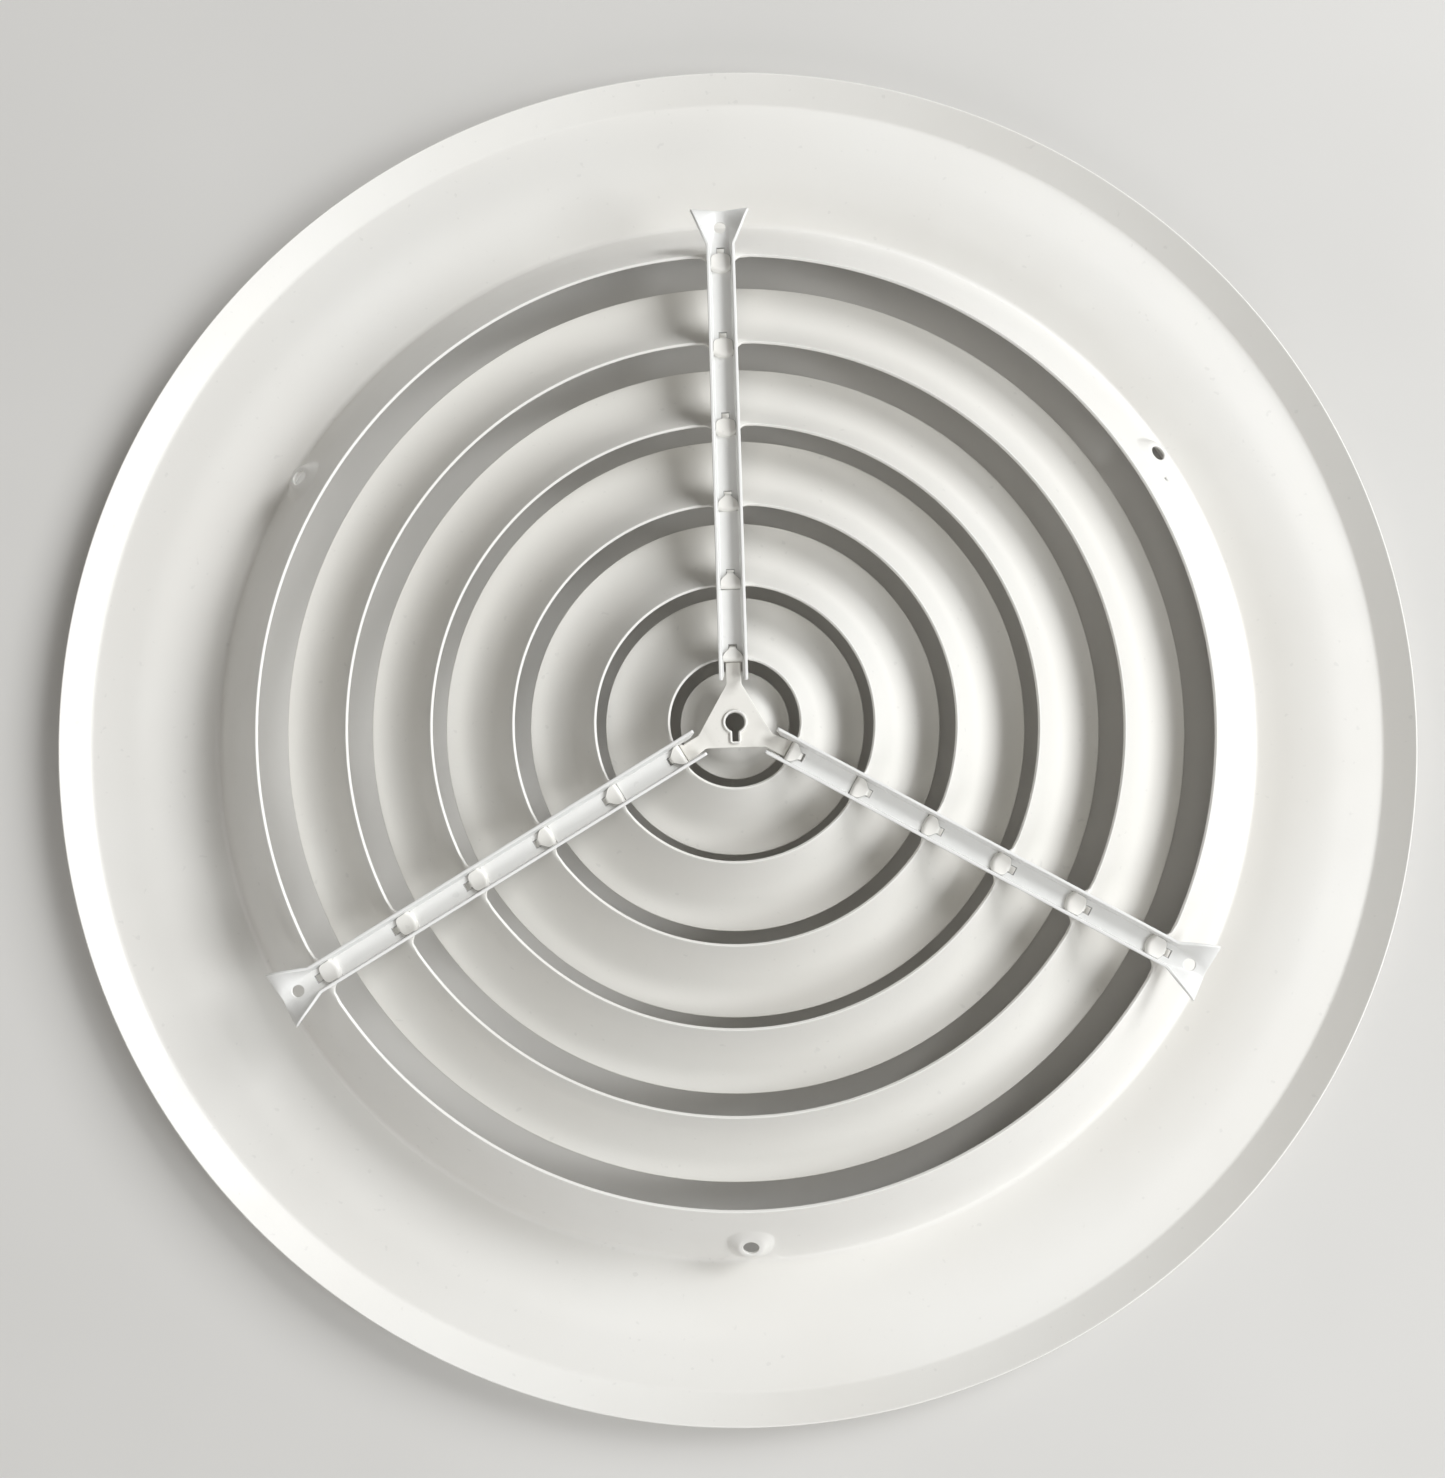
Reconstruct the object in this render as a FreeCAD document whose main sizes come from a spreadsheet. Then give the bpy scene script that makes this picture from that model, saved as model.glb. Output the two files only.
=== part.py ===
"""Round ceiling air diffuser of painted sheet metal, millimetres, +Z up into the duct.

A wide outer frame carries five louvre rings and a small centre cone. Three channel-shaped
spoke arms lie across the small ends of the rings. Each ring, and the frame, has three ears
that come up through slots in the arms and are folded outwards over the arm's floor. A
three-legged hub plate ties the inner ends of the arms together and holds the centre cone.

The origin is on the axis, in the plane of the frame's lowest point. One arm runs along +Y.
"""
import FreeCAD, Part
import math
import os
import Sketcher
from FreeCAD import Placement, Rotation, Vector

ARM_ANGLES = (90.0, 210.0, 330.0)
BOSS_TURNS = (0.0, 121.2, 238.4)   # of the screw bosses from -Y; the upper two sit nearer the top arm
RING_COUNT = 5

# Driving dimensions in millimetres and degrees. Heights are measured from the lowest point.
DIMENSIONS = {
    "sheet": 1.0,              # thickness of every piece
    "rimHeight": 36.0,         # top of the frame's neck rim, where the arms lie
    # Outer frame
    "faceRadius": 223.5,
    "lipHeight": 14.0,
    "lipAngle": 35.0,
    "creaseBend": 2.5,
    "ledgeHeight": 8.2,
    "riseBend": 45.0,
    "riseAngle": 24.0,
    "noseBend": 2.5,
    "neckAngle": 56.0,
    # Louvre rings
    "edgeHeight": 21.4,
    "ringSteepAngle": 50.0,
    "ringFlatAngle": 6.0,
    "ringBend": 22.0,
    # Centre cone
    "coneEdgeRadius": 17.6,
    "coneEdgeHeight": 24.0,
    "coneTopHeight": 33.9,
    "coneShoulderRadius": 7.0,
    "coneShoulderBend": 2.0,
    "coneSteepAngle": 52.0,
    "coneBend": 7.0,
    # Ears and the slots they pass through
    "earWidth": 6.0,
    "earNubWidth": 1.8,
    "earNubLength": 1.0,
    "earSlope": 7.0,
    "slotPlay": 0.2,
    # Spoke arms
    "armFloor": 5.0,
    "armBend": 1.1,
    "armWall": 3.6,
    "armWallAngle": 83.0,
    "armInnerEnd": 13.0,
    "flareStart": 152.0,
    "flareEnd": 164.6,
    "flareWallAngle": 12.0,
    "flareSpread": 1.1,
    "armEndSlant": 28.0,
    "armHoleRadius": 1.9,
    "armHolePlace": 159.0,
    # Hub plate and the keyhole through hub and cone
    "hubHalfWidth": 8.05,
    "hubLegWidth": 4.8,
    "hubLegEnd": 25.5,
    "hubHeadWidth": 8.6,
    "keyholeRadius": 3.0,
    "keyholeSlotWidth": 1.9,
    "keyholeSlotEnd": 6.1,
    "collarWall": 0.6,
    # Screw bosses on the frame's neck
    "bossPlace": 164.0,
    "bossBaseRadius": 6.4,
    "bossTopRadius": 3.5,
    "bossHeight": 2.4,
    "bossTilt": 24.0,
    "bossHoleRadius": 2.5,
}

# One value per opening from the outside in: 0 is the frame, 1 to 5 are the rings.
RIM_RADII = (150.1, 121.7, 95.0, 69.2, 43.5, 20.4)
EDGE_RADII = (None, 144.8, 117.3, 93.4, 66.1, 41.8)
RIM_DROPS = (0.0, 0.0, 0.0, 0.0, 0.0, 1.15)      # the last ring passes under the hub's legs
EAR_ROOTS = (145.0, 117.3, 91.6, 67.1, 42.0, 19.0)
EAR_LENGTHS = (7.0, 7.0, 6.6, 5.8, 5.8, 5.0)

for ring in range(RING_COUNT + 1):
    DIMENSIONS["rimRadius_%d" % ring] = RIM_RADII[ring]
    DIMENSIONS["rimTop_%d" % ring] = DIMENSIONS["rimHeight"] - RIM_DROPS[ring]
    DIMENSIONS["earRoot_%d" % ring] = EAR_ROOTS[ring]
    DIMENSIONS["earLength_%d" % ring] = EAR_LENGTHS[ring]
    if ring > 0:
        DIMENSIONS["edgeRadius_%d" % ring] = EDGE_RADII[ring]

# Between the closed channel and the open fishtail: share of the flare's run, and wall angle.
FLARE_MIDDLE = ((0.3, 64.0), (0.62, 42.0))

CLEAR = 0.1                   # gap between stacked pieces
REACH = 60.0                  # longer than an arm is wide, for cutters that cross it
EAR_LIFT = 0.02               # how high an ear lies above the floor where its nub starts
SADDLE_GRIP = 0.8             # share of the sheet by which a saddle reaches into its ring
BOSS_ROOT = 0.3               # share of the sheet by which a boss starts inside the neck
BOSS_THINNING = 0.4           # share of the sheet that is missing from a boss's flank

document = FreeCAD.newDocument("diffuser")
sheet = document.addObject("Spreadsheet::Sheet", "dimensions")
for row, (word, value) in enumerate(DIMENSIONS.items(), start=1):
    sheet.set("A%d" % row, word)
    sheet.set("B%d" % row, str(value))
    sheet.setAlias("B%d" % row, word)
document.recompute()


def size(word):
    """The value of one driving dimension."""
    return float(sheet.get(word))


SHEET = size("sheet")
HALF = SHEET / 2
RIM_TOP = size("rimHeight")
FLOOR_BOTTOM = RIM_TOP + CLEAR
FLOOR_TOP = FLOOR_BOTTOM + SHEET


# ---------------------------------------------------------------- small helpers

def direction(angle):
    """Unit vector at an angle in degrees above the sketch's first axis."""
    return Vector(math.cos(math.radians(angle)), math.sin(math.radians(angle)), 0)


def meet(first, first_angle, second, second_angle):
    """Where two lines cross, each given by a point and an angle."""
    a = direction(first_angle)
    b = direction(second_angle)
    gap = second - first
    along = (gap.x * b.y - gap.y * b.x) / (a.x * b.y - a.y * b.x)
    return first + a * along


def bound(kind, name, **sizes):
    """A Part object whose sizes follow expressions on the sheet."""
    made = document.addObject(kind, name)
    for property_name, formula in sizes.items():
        made.setExpression(property_name, formula)
    return made


def box(name, corner, length, width, height):
    """A box with its low corner at a point; its three sizes are formulas."""
    made = bound("Part::Box", name, Length=length, Width=width, Height=height)
    made.Placement = Placement(corner, Rotation())
    return made


def cylinder(name, foot, radius, height, rotation=Rotation()):
    made = bound("Part::Cylinder", name, Radius=radius, Height=height)
    made.Placement = Placement(foot, rotation)
    return made


def fuse(name, pieces):
    made = document.addObject("Part::MultiFuse", name)
    made.Shapes = pieces
    return made


def cut(name, base, tool):
    made = document.addObject("Part::Cut", name)
    made.Base = base
    made.Tool = tool
    return made


def turned(name, source, angle):
    """A copy of a finished shape, turned about the diffuser's axis."""
    document.recompute()
    made = document.addObject("Part::Feature", name)
    made.Shape = source.Shape.copy()
    made.Placement = Placement(Vector(), Rotation(Vector(0, 0, 1), angle)) * source.Placement
    return made


# ---------------------------------------------------------------- bent sheet

def path_stations(corners, bends):
    """Points and headings along straight runs joined by tangent arcs.

    Every second stretch is an arc. Returns the point and heading at the start, at each
    joint and at the end, and the point and heading half way round each arc.
    """
    heading = (corners[1] - corners[0]).normalize()
    joints = [(corners[0], heading)]
    arc_middles = []
    for corner, following, bend in zip(corners[1:-1], corners[2:], bends):
        after = (following - corner).normalize()
        turn = heading.getAngle(after)
        setback = bend * math.tan(turn / 2)
        inward = (after - heading).normalize()
        centre = corner + inward * (bend / math.cos(turn / 2))
        joints.append((corner - heading * setback, heading))
        joints.append((corner + after * setback, after))
        arc_middles.append((centre - inward * bend, (heading + after).normalize()))
        heading = after
    joints.append((corners[-1], heading))
    return joints, arc_middles


def beside(station, side):
    """The point half a sheet to the left (1) or right (-1) of a station on the path."""
    point, heading = station
    return point + Vector(-heading.y, heading.x, 0) * (HALF * side)


def sheet_section(name, corners, bends, placement):
    """A closed sketch of bent sheet with rounded cut edges, and a map of its pieces.

    The map gives, for each side of the sheet, the numbers of its lines and arcs in order
    along the path, and the numbers of the two end caps.
    """
    joints, arc_middles = path_stations(corners, bends)
    sketch = document.addObject("Sketcher::SketchObject", name)
    sketch.Placement = placement
    sides = []
    for side in (1, -1):
        numbers = []
        for piece in range(len(joints) - 1):
            start = beside(joints[piece], side)
            end = beside(joints[piece + 1], side)
            if piece % 2 == 0:
                curve = Part.LineSegment(start, end)
            else:
                curve = Part.Arc(start, beside(arc_middles[piece // 2], side), end)
            numbers.append(sketch.addGeometry(curve, False))
        sides.append(numbers)
    caps = []
    for station, outward in ((joints[0], -1), (joints[-1], 1)):
        point, heading = station
        cap = Part.Arc(beside(station, 1), point + heading * (HALF * outward), beside(station, -1))
        caps.append(sketch.addGeometry(cap, False))

    left, right = sides
    loop = [caps[0]] + left + [caps[1]] + right[::-1]
    for first, second in zip(loop, loop[1:] + loop[:1]):
        join_tangent(sketch, first, second)
    for outer, inner in zip(left[1::2], right[1::2]):
        sketch.addConstraint(Sketcher.Constraint("Coincident", outer, 3, inner, 3))
    for count, cap in enumerate(caps):
        drive(sketch, "Radius", (cap,), HALF, "cap_%d" % count, "dimensions.sheet / 2")
    return sketch, left, right, caps


def join_tangent(sketch, first, second):
    """Join two curves, tangent, at the ends that lie at the same point."""
    ends = [(one, two) for one in (1, 2) for two in (1, 2)]
    best = min(ends, key=lambda pair: (sketch.getPoint(first, pair[0])
                                       - sketch.getPoint(second, pair[1])).Length)
    sketch.addConstraint(Sketcher.Constraint("Tangent", first, best[0], second, best[1]))


def drive(sketch, kind, places, value, name, formula):
    """A named sketch dimension that follows a formula on the sheet."""
    index = sketch.addConstraint(Sketcher.Constraint(kind, *places, value))
    sketch.renameConstraint(index, name)
    sketch.setExpression("Constraints." + name, formula)


def place_point(sketch, piece, end, point, name, formula_x, formula_y):
    drive(sketch, "DistanceX", (-1, 1, piece, end), point.x, name + "_x", formula_x)
    drive(sketch, "DistanceY", (-1, 1, piece, end), point.y, name + "_y", formula_y)


def drive_bend(sketch, outer, inner, bend, turn, name, word):
    """Both faces of one bend; turn is 1 where the path bends to its left, -1 to its right."""
    drive(sketch, "Radius", (outer,), bend - HALF * turn, name + "_left",
          "dimensions.%s - dimensions.sheet / 2 * %d" % (word, turn))
    drive(sketch, "Radius", (inner,), bend + HALF * turn, name + "_right",
          "dimensions.%s + dimensions.sheet / 2 * %d" % (word, turn))


def spin(name, section):
    """A section turned all the way round the diffuser's axis."""
    made = document.addObject("Part::Revolution", name)
    made.Source = section
    made.Axis = Vector(0, 0, 1)
    made.Base = Vector(0, 0, 0)
    made.Angle = 360
    made.Solid = True
    return made


UPRIGHT = Placement(Vector(), Rotation(Vector(1, 0, 0), 90))


# ---------------------------------------------------------------- ears

def ear(number):
    """One ear on the +Y side: a saddle under the arm, a riser, and the folded ear itself."""
    tag = "ear%d_" % number
    root = size("earRoot_%d" % number)
    length = size("earLength_%d" % number)
    width = size("earWidth")
    seat = size("rimTop_%d" % number) - SHEET
    slope = math.radians(size("earSlope"))
    root_height = FLOOR_TOP + EAR_LIFT + (length - size("earNubLength")) * math.tan(slope)
    edge = -width / 2

    saddle = box(tag + "saddle", Vector(edge, root, seat), "dimensions.earWidth",
                 "dimensions.rimRadius_%d + dimensions.sheet * %g - dimensions.earRoot_%d"
                 % (number, SADDLE_GRIP, number),
                 "dimensions.sheet")
    riser = box(tag + "riser", Vector(edge, root, seat), "dimensions.earWidth",
                "dimensions.sheet", "%f" % (root_height + HALF - seat))
    slab = box(tag + "slab", Vector(edge, root, root_height), "dimensions.earWidth",
               "dimensions.earLength_%d / cos(dimensions.earSlope * 1deg)" % number, "dimensions.sheet")
    slab.Placement = Placement(Vector(edge, root, root_height),
                               Rotation(Vector(1, 0, 0), -size("earSlope")))

    dome_centre = root + length - size("earNubLength") - width / 2
    outline_low = FLOOR_TOP - SHEET
    outline_height = "%f" % (5 * SHEET)         # taller than the ear's fold
    outline = fuse(tag + "outline", [
        box(tag + "shoulder", Vector(edge, root - SHEET, outline_low), "dimensions.earWidth",
            "%f" % (dome_centre - root + SHEET), outline_height),
        cylinder(tag + "dome", Vector(0, dome_centre, outline_low),
                 "dimensions.earWidth / 2", outline_height),
        box(tag + "nub", Vector(-size("earNubWidth") / 2, dome_centre, outline_low),
            "dimensions.earNubWidth", "%f" % (root + length - dome_centre), outline_height)])
    leaf = document.addObject("Part::Common", tag + "leaf")
    leaf.Base = slab
    leaf.Tool = outline
    return fuse(tag + "whole", [saddle, riser, leaf])


def with_ears(name, ring, number, extras=()):
    """A ring with its three ears, under the arms."""
    first = ear(number)
    ears = [turned("ear%d_at_%d" % (number, angle), first, angle - 90) for angle in ARM_ANGLES]
    return fuse(name, [ring] + ears + list(extras))


# ---------------------------------------------------------------- louvre rings

def louvre_ring(number):
    """A cone that starts steep at its small upper end and curves out nearly flat."""
    name = "louvre_ring_%d" % number
    top = Vector(size("rimRadius_%d" % number) + HALF, size("rimTop_%d" % number) - HALF, 0)
    edge = Vector(size("edgeRadius_%d" % number) - HALF, size("edgeHeight") + HALF, 0)
    corner = meet(top, -size("ringSteepAngle"), edge, -size("ringFlatAngle"))
    section, left, right, caps = sheet_section(name + "_section", [top, corner, edge],
                                               [size("ringBend")], UPRIGHT)
    place_point(section, caps[0], 3, top, "top",
                "dimensions.rimRadius_%d + dimensions.sheet / 2" % number,
                "dimensions.rimTop_%d - dimensions.sheet / 2" % number)
    place_point(section, caps[1], 3, edge, "edge",
                "dimensions.edgeRadius_%d - dimensions.sheet / 2" % number,
                "dimensions.edgeHeight + dimensions.sheet / 2")
    drive_bend(section, left[1], right[1], size("ringBend"), 1, "bend", "ringBend")
    drive(section, "Angle", (left[0],), -math.radians(size("ringSteepAngle")), "steep",
          "-dimensions.ringSteepAngle * 1deg")
    drive(section, "Angle", (left[2],), -math.radians(size("ringFlatAngle")), "flat",
          "-dimensions.ringFlatAngle * 1deg")
    return with_ears(name, spin(name + "_shell", section), number)


# ---------------------------------------------------------------- outer frame

def frame_shell():
    """Neck cone down to a tight nose, then a rise to a flat ledge and the ceiling lip."""
    neck_angle = size("neckAngle")
    nose_bend = size("noseBend")
    rim = Vector(size("rimRadius_0") + HALF, RIM_TOP - HALF, 0)
    drop = rim.y - HALF - nose_bend * (1 - math.cos(math.radians(neck_angle)))
    nose_start = rim + direction(-neck_angle) * (drop / math.sin(math.radians(neck_angle)))
    nose_centre = nose_start + direction(90 - neck_angle) * nose_bend
    nose_end = nose_centre + direction(size("riseAngle") - 90) * nose_bend
    nose = meet(rim, -neck_angle, nose_end, size("riseAngle"))
    ledge = Vector(size("faceRadius"), size("ledgeHeight") - HALF, 0)
    ledge_start = meet(nose, size("riseAngle"), ledge, 180)
    lip = Vector(size("faceRadius") - HALF, size("lipHeight") - HALF, 0)
    crease = meet(ledge_start, 0, lip, size("lipAngle"))

    section, left, right, caps = sheet_section(
        "frame_section", [rim, nose, ledge_start, crease, lip],
        [nose_bend, size("riseBend"), size("creaseBend")], UPRIGHT)
    place_point(section, caps[0], 3, rim, "rim", "dimensions.rimRadius_0 + dimensions.sheet / 2",
                "dimensions.rimHeight - dimensions.sheet / 2")
    place_point(section, caps[1], 3, lip, "lip", "dimensions.faceRadius - dimensions.sheet / 2",
                "dimensions.lipHeight - dimensions.sheet / 2")
    drive_bend(section, left[1], right[1], nose_bend, 1, "nose", "noseBend")
    drive_bend(section, left[3], right[3], size("riseBend"), -1, "rise_bend", "riseBend")
    drive_bend(section, left[5], right[5], size("creaseBend"), 1, "crease", "creaseBend")
    drive(section, "Angle", (left[0],), -math.radians(neck_angle), "neck",
          "-dimensions.neckAngle * 1deg")
    drive(section, "Angle", (left[2],), math.radians(size("riseAngle")), "rise",
          "dimensions.riseAngle * 1deg")
    drive(section, "Angle", (left[6],), math.radians(size("lipAngle")), "lip_slope",
          "dimensions.lipAngle * 1deg")
    section.addConstraint(Sketcher.Constraint("Horizontal", left[4]))
    drive(section, "DistanceY", (-1, 1, left[4], 1), size("ledgeHeight"), "ledge",
          "dimensions.ledgeHeight")
    drive(section, "DistanceY", (-1, 1, left[1], 3), nose_bend + HALF, "nose_low",
          "dimensions.noseBend + dimensions.sheet / 2")
    return spin("frame_shell", section)


def circle(name, centre, rotation, radius):
    made = bound("Part::Circle", name, Radius=radius)
    made.Placement = Placement(centre, rotation)
    return made


def leaning_cone(name, foot, foot_turn, foot_radius, top, top_turn, top_radius):
    """A cone stump between two circles that need not be parallel; the radii are formulas."""
    made = document.addObject("Part::Loft", name)
    made.Sections = [circle(name + "_foot", foot, foot_turn, foot_radius),
                     circle(name + "_top", top, top_turn, top_radius)]
    made.Solid = True
    made.Ruled = True
    return made


def boss_tools():
    """The raised cone of one screw boss, and what is hollowed out under it, on the -Y side.

    Its foot follows the neck and its head, with the hole, is tilted up towards the duct.
    """
    place = size("bossPlace")
    fall = math.radians(size("neckAngle"))
    lean = fall - math.radians(size("bossTilt"))
    height = RIM_TOP - HALF - (place - size("rimRadius_0") - HALF) * math.tan(fall)
    outward = Vector(0, -math.sin(fall), math.cos(fall))
    axis = Vector(0, -math.sin(lean), math.cos(lean))
    foot_turn = Rotation(Vector(0, 0, 1), outward)
    head_turn = Rotation(Vector(0, 0, 1), axis)
    middle = Vector(0, -place, height)
    foot = middle + outward * (HALF - SHEET * BOSS_ROOT)
    head = middle + outward * (HALF + size("bossHeight"))
    raised = leaning_cone("boss_raised", foot, foot_turn, "dimensions.bossBaseRadius",
                          head, head_turn, "dimensions.bossTopRadius")
    thinning = "dimensions.sheet * %g" % BOSS_THINNING
    hollow = leaning_cone("boss_hollow", foot - outward * SHEET, foot_turn,
                          "dimensions.bossBaseRadius - " + thinning,
                          head - axis * SHEET, head_turn,
                          "dimensions.bossTopRadius - " + thinning)
    hole_depth = 5 * SHEET
    hole = cylinder("boss_hole", head - axis * hole_depth, "dimensions.bossHoleRadius",
                    "%f" % (2 * hole_depth), head_turn)
    return raised, fuse("boss_cutter", [hollow, hole])


def outer_frame():
    raised, cutter = boss_tools()
    bosses = [turned("boss_at_%d" % turn, raised, turn) for turn in BOSS_TURNS]
    cutters = [turned("boss_cutter_at_%d" % turn, cutter, turn) for turn in BOSS_TURNS]
    body = with_ears("frame_body", frame_shell(), 0, bosses)
    return cut("outer_frame", body, fuse("boss_cutters", cutters))


# ---------------------------------------------------------------- spoke arms

def arm_section(name, place, wall_angle, spread=0.0):
    """The channel's section across the arm: its walls' angle above the floor and added height."""
    half_floor = size("armFloor") / 2
    bend = size("armBend")
    spare = bend * (math.pi / 2 - math.radians(wall_angle))
    wall = size("armWall") + spare + spread
    setback = bend * math.tan(math.radians(wall_angle) / 2)
    corner = Vector(half_floor + setback, 0, 0)
    top = corner + direction(wall_angle) * (setback + wall)
    corners = [Vector(-top.x, top.y, 0), Vector(-corner.x, 0, 0), corner, top]
    placement = Placement(Vector(0, place, FLOOR_BOTTOM + HALF), Rotation(Vector(1, 0, 0), 90))
    section, left, right, _ = sheet_section(name, corners, [bend, bend], placement)
    drive_bend(section, left[1], right[1], bend, 1, "left_bend", "armBend")
    drive_bend(section, left[3], right[3], bend, 1, "right_bend", "armBend")
    return section


def flare(tag):
    """The outer end, where the walls open out into a shallow fishtail."""
    start = size("flareStart")
    run = size("flareEnd") - start
    closed = size("armWallAngle")
    opened = size("flareWallAngle")
    stations = ((0.0, closed),) + FLARE_MIDDLE + ((1.0, opened),)
    sections = [arm_section("%sflare_%d" % (tag, count), start + run * share, angle,
                            size("flareSpread") * share)
                for count, (share, angle) in enumerate(stations)]
    made = document.addObject("Part::Loft", tag + "flare")
    made.Sections = sections
    made.Solid = True
    made.Ruled = False
    return made


def arm_cutters(tag):
    """Slots for the ears, holes for their nubs, the screw hole and the open inner end."""
    play = size("slotPlay")
    depth = "%f" % (3 * SHEET)
    low = FLOOR_BOTTOM - SHEET
    slot_width = size("earWidth") + 2 * play
    nub_width = size("earNubWidth") + 3 * play
    cutters = []
    for number in range(RING_COUNT + 1):
        root = size("earRoot_%d" % number)
        tip = root + size("earLength_%d" % number)
        cutters.append(box("%sslot_%d" % (tag, number), Vector(-slot_width / 2, root - play, low),
                           "dimensions.earWidth + 2 * dimensions.slotPlay",
                           "dimensions.sheet + 2 * dimensions.slotPlay", depth))
        cutters.append(box("%snub_hole_%d" % (tag, number),
                           Vector(-nub_width / 2, tip - size("earNubLength") - play, low),
                           "dimensions.earNubWidth + 3 * dimensions.slotPlay",
                           "dimensions.earNubLength + 2 * dimensions.slotPlay", depth))
    cutters.append(cylinder(tag + "end_hole", Vector(0, size("armHolePlace"), low),
                            "dimensions.armHoleRadius", depth))
    inner = size("armInnerEnd") - SHEET
    cutters.append(box(tag + "inner_end", Vector(-slot_width / 2, inner, low),
                       "dimensions.earWidth + 2 * dimensions.slotPlay",
                       "%f" % (size("earRoot_5") - inner), "%f" % (2 * SHEET + CLEAR)))
    slant_height = "%f" % (12 * SHEET)          # past the wall tops when tilted
    slant = box(tag + "slant", Vector(), "%f" % REACH, depth, slant_height)
    slant.Placement = Placement(Vector(-REACH / 2, inner - HALF, low - SHEET),
                                Rotation(Vector(1, 0, 0), size("armEndSlant")))
    cutters.append(slant)
    return fuse(tag + "cutters", cutters)


def spoke_arm(number, angle):
    """One channel arm, lying across the ring ends from the hub to the frame's neck."""
    tag = "arm%d_" % number
    inner = size("armInnerEnd")
    channel = document.addObject("Part::Extrusion", tag + "channel")
    channel.Base = arm_section(tag + "section", inner, size("armWallAngle"))
    channel.DirMode = "Custom"
    channel.Dir = Vector(0, 1, 0)
    channel.LengthFwd = size("flareStart") - inner
    channel.setExpression("LengthFwd", "dimensions.flareStart - dimensions.armInnerEnd")
    channel.Solid = True
    blank = fuse(tag + "blank", [channel, flare(tag)])
    arm = cut("spoke_arm_%d" % number, blank, arm_cutters(tag))
    arm.Placement = Placement(Vector(), Rotation(Vector(0, 0, 1), angle - 90))
    return arm


# ---------------------------------------------------------------- hub plate and centre cone

def keyhole(name, low, tall, margin):
    """A keyhole prism, its slot pointing along -Y, grown by a margin all round."""
    half_slot = size("keyholeSlotWidth") / 2 + margin
    bottom = size("keyholeSlotEnd") + margin
    return fuse(name, [
        cylinder(name + "_round", Vector(0, 0, low), "dimensions.keyholeRadius + %f" % margin, "%f" % tall),
        box(name + "_slot", Vector(-half_slot, -bottom, low),
            "dimensions.keyholeSlotWidth + %f" % (2 * margin), "%f" % bottom, "%f" % tall)])


def hub_plate():
    """A triangle with three legs that reach under the arms, each slotted for a ring ear."""
    low = FLOOR_BOTTOM - CLEAR / 2 - SHEET
    triangle = document.addObject("Part::Prism", "hub_triangle")
    triangle.Polygon = 3
    triangle.setExpression("Circumradius", "2 * dimensions.hubHalfWidth")
    triangle.setExpression("Height", "dimensions.sheet")
    triangle.Placement = Placement(Vector(0, 0, low), Rotation(Vector(0, 0, 1), 90))
    leg_width = size("hubLegWidth")
    head_width = size("hubHeadWidth")
    head_start = size("earRoot_5") - 2 * size("slotPlay")
    leg = fuse("hub_leg", [
        box("hub_leg_neck", Vector(-leg_width / 2, 0, low), "dimensions.hubLegWidth",
            "dimensions.hubLegEnd", "dimensions.sheet"),
        box("hub_leg_head", Vector(-head_width / 2, head_start, low), "dimensions.hubHeadWidth",
            "dimensions.hubLegEnd - %f" % head_start, "dimensions.sheet")])
    play = size("slotPlay")
    slot = box("hub_slot", Vector(-size("earWidth") / 2 - play, size("earRoot_5") - play, low - SHEET),
               "dimensions.earWidth + 2 * dimensions.slotPlay",
               "dimensions.sheet + 2 * dimensions.slotPlay", "3 * dimensions.sheet")
    legs = [turned("hub_leg_at_%d" % angle, leg, angle - 90) for angle in ARM_ANGLES]
    slots = [turned("hub_slot_at_%d" % angle, slot, angle - 90) for angle in ARM_ANGLES]
    window = keyhole("hub_window", low - SHEET, 3 * SHEET, size("collarWall") + CLEAR)
    return cut("hub_plate", fuse("hub_blank", [triangle] + legs), fuse("hub_cutters", slots + [window]))


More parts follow.
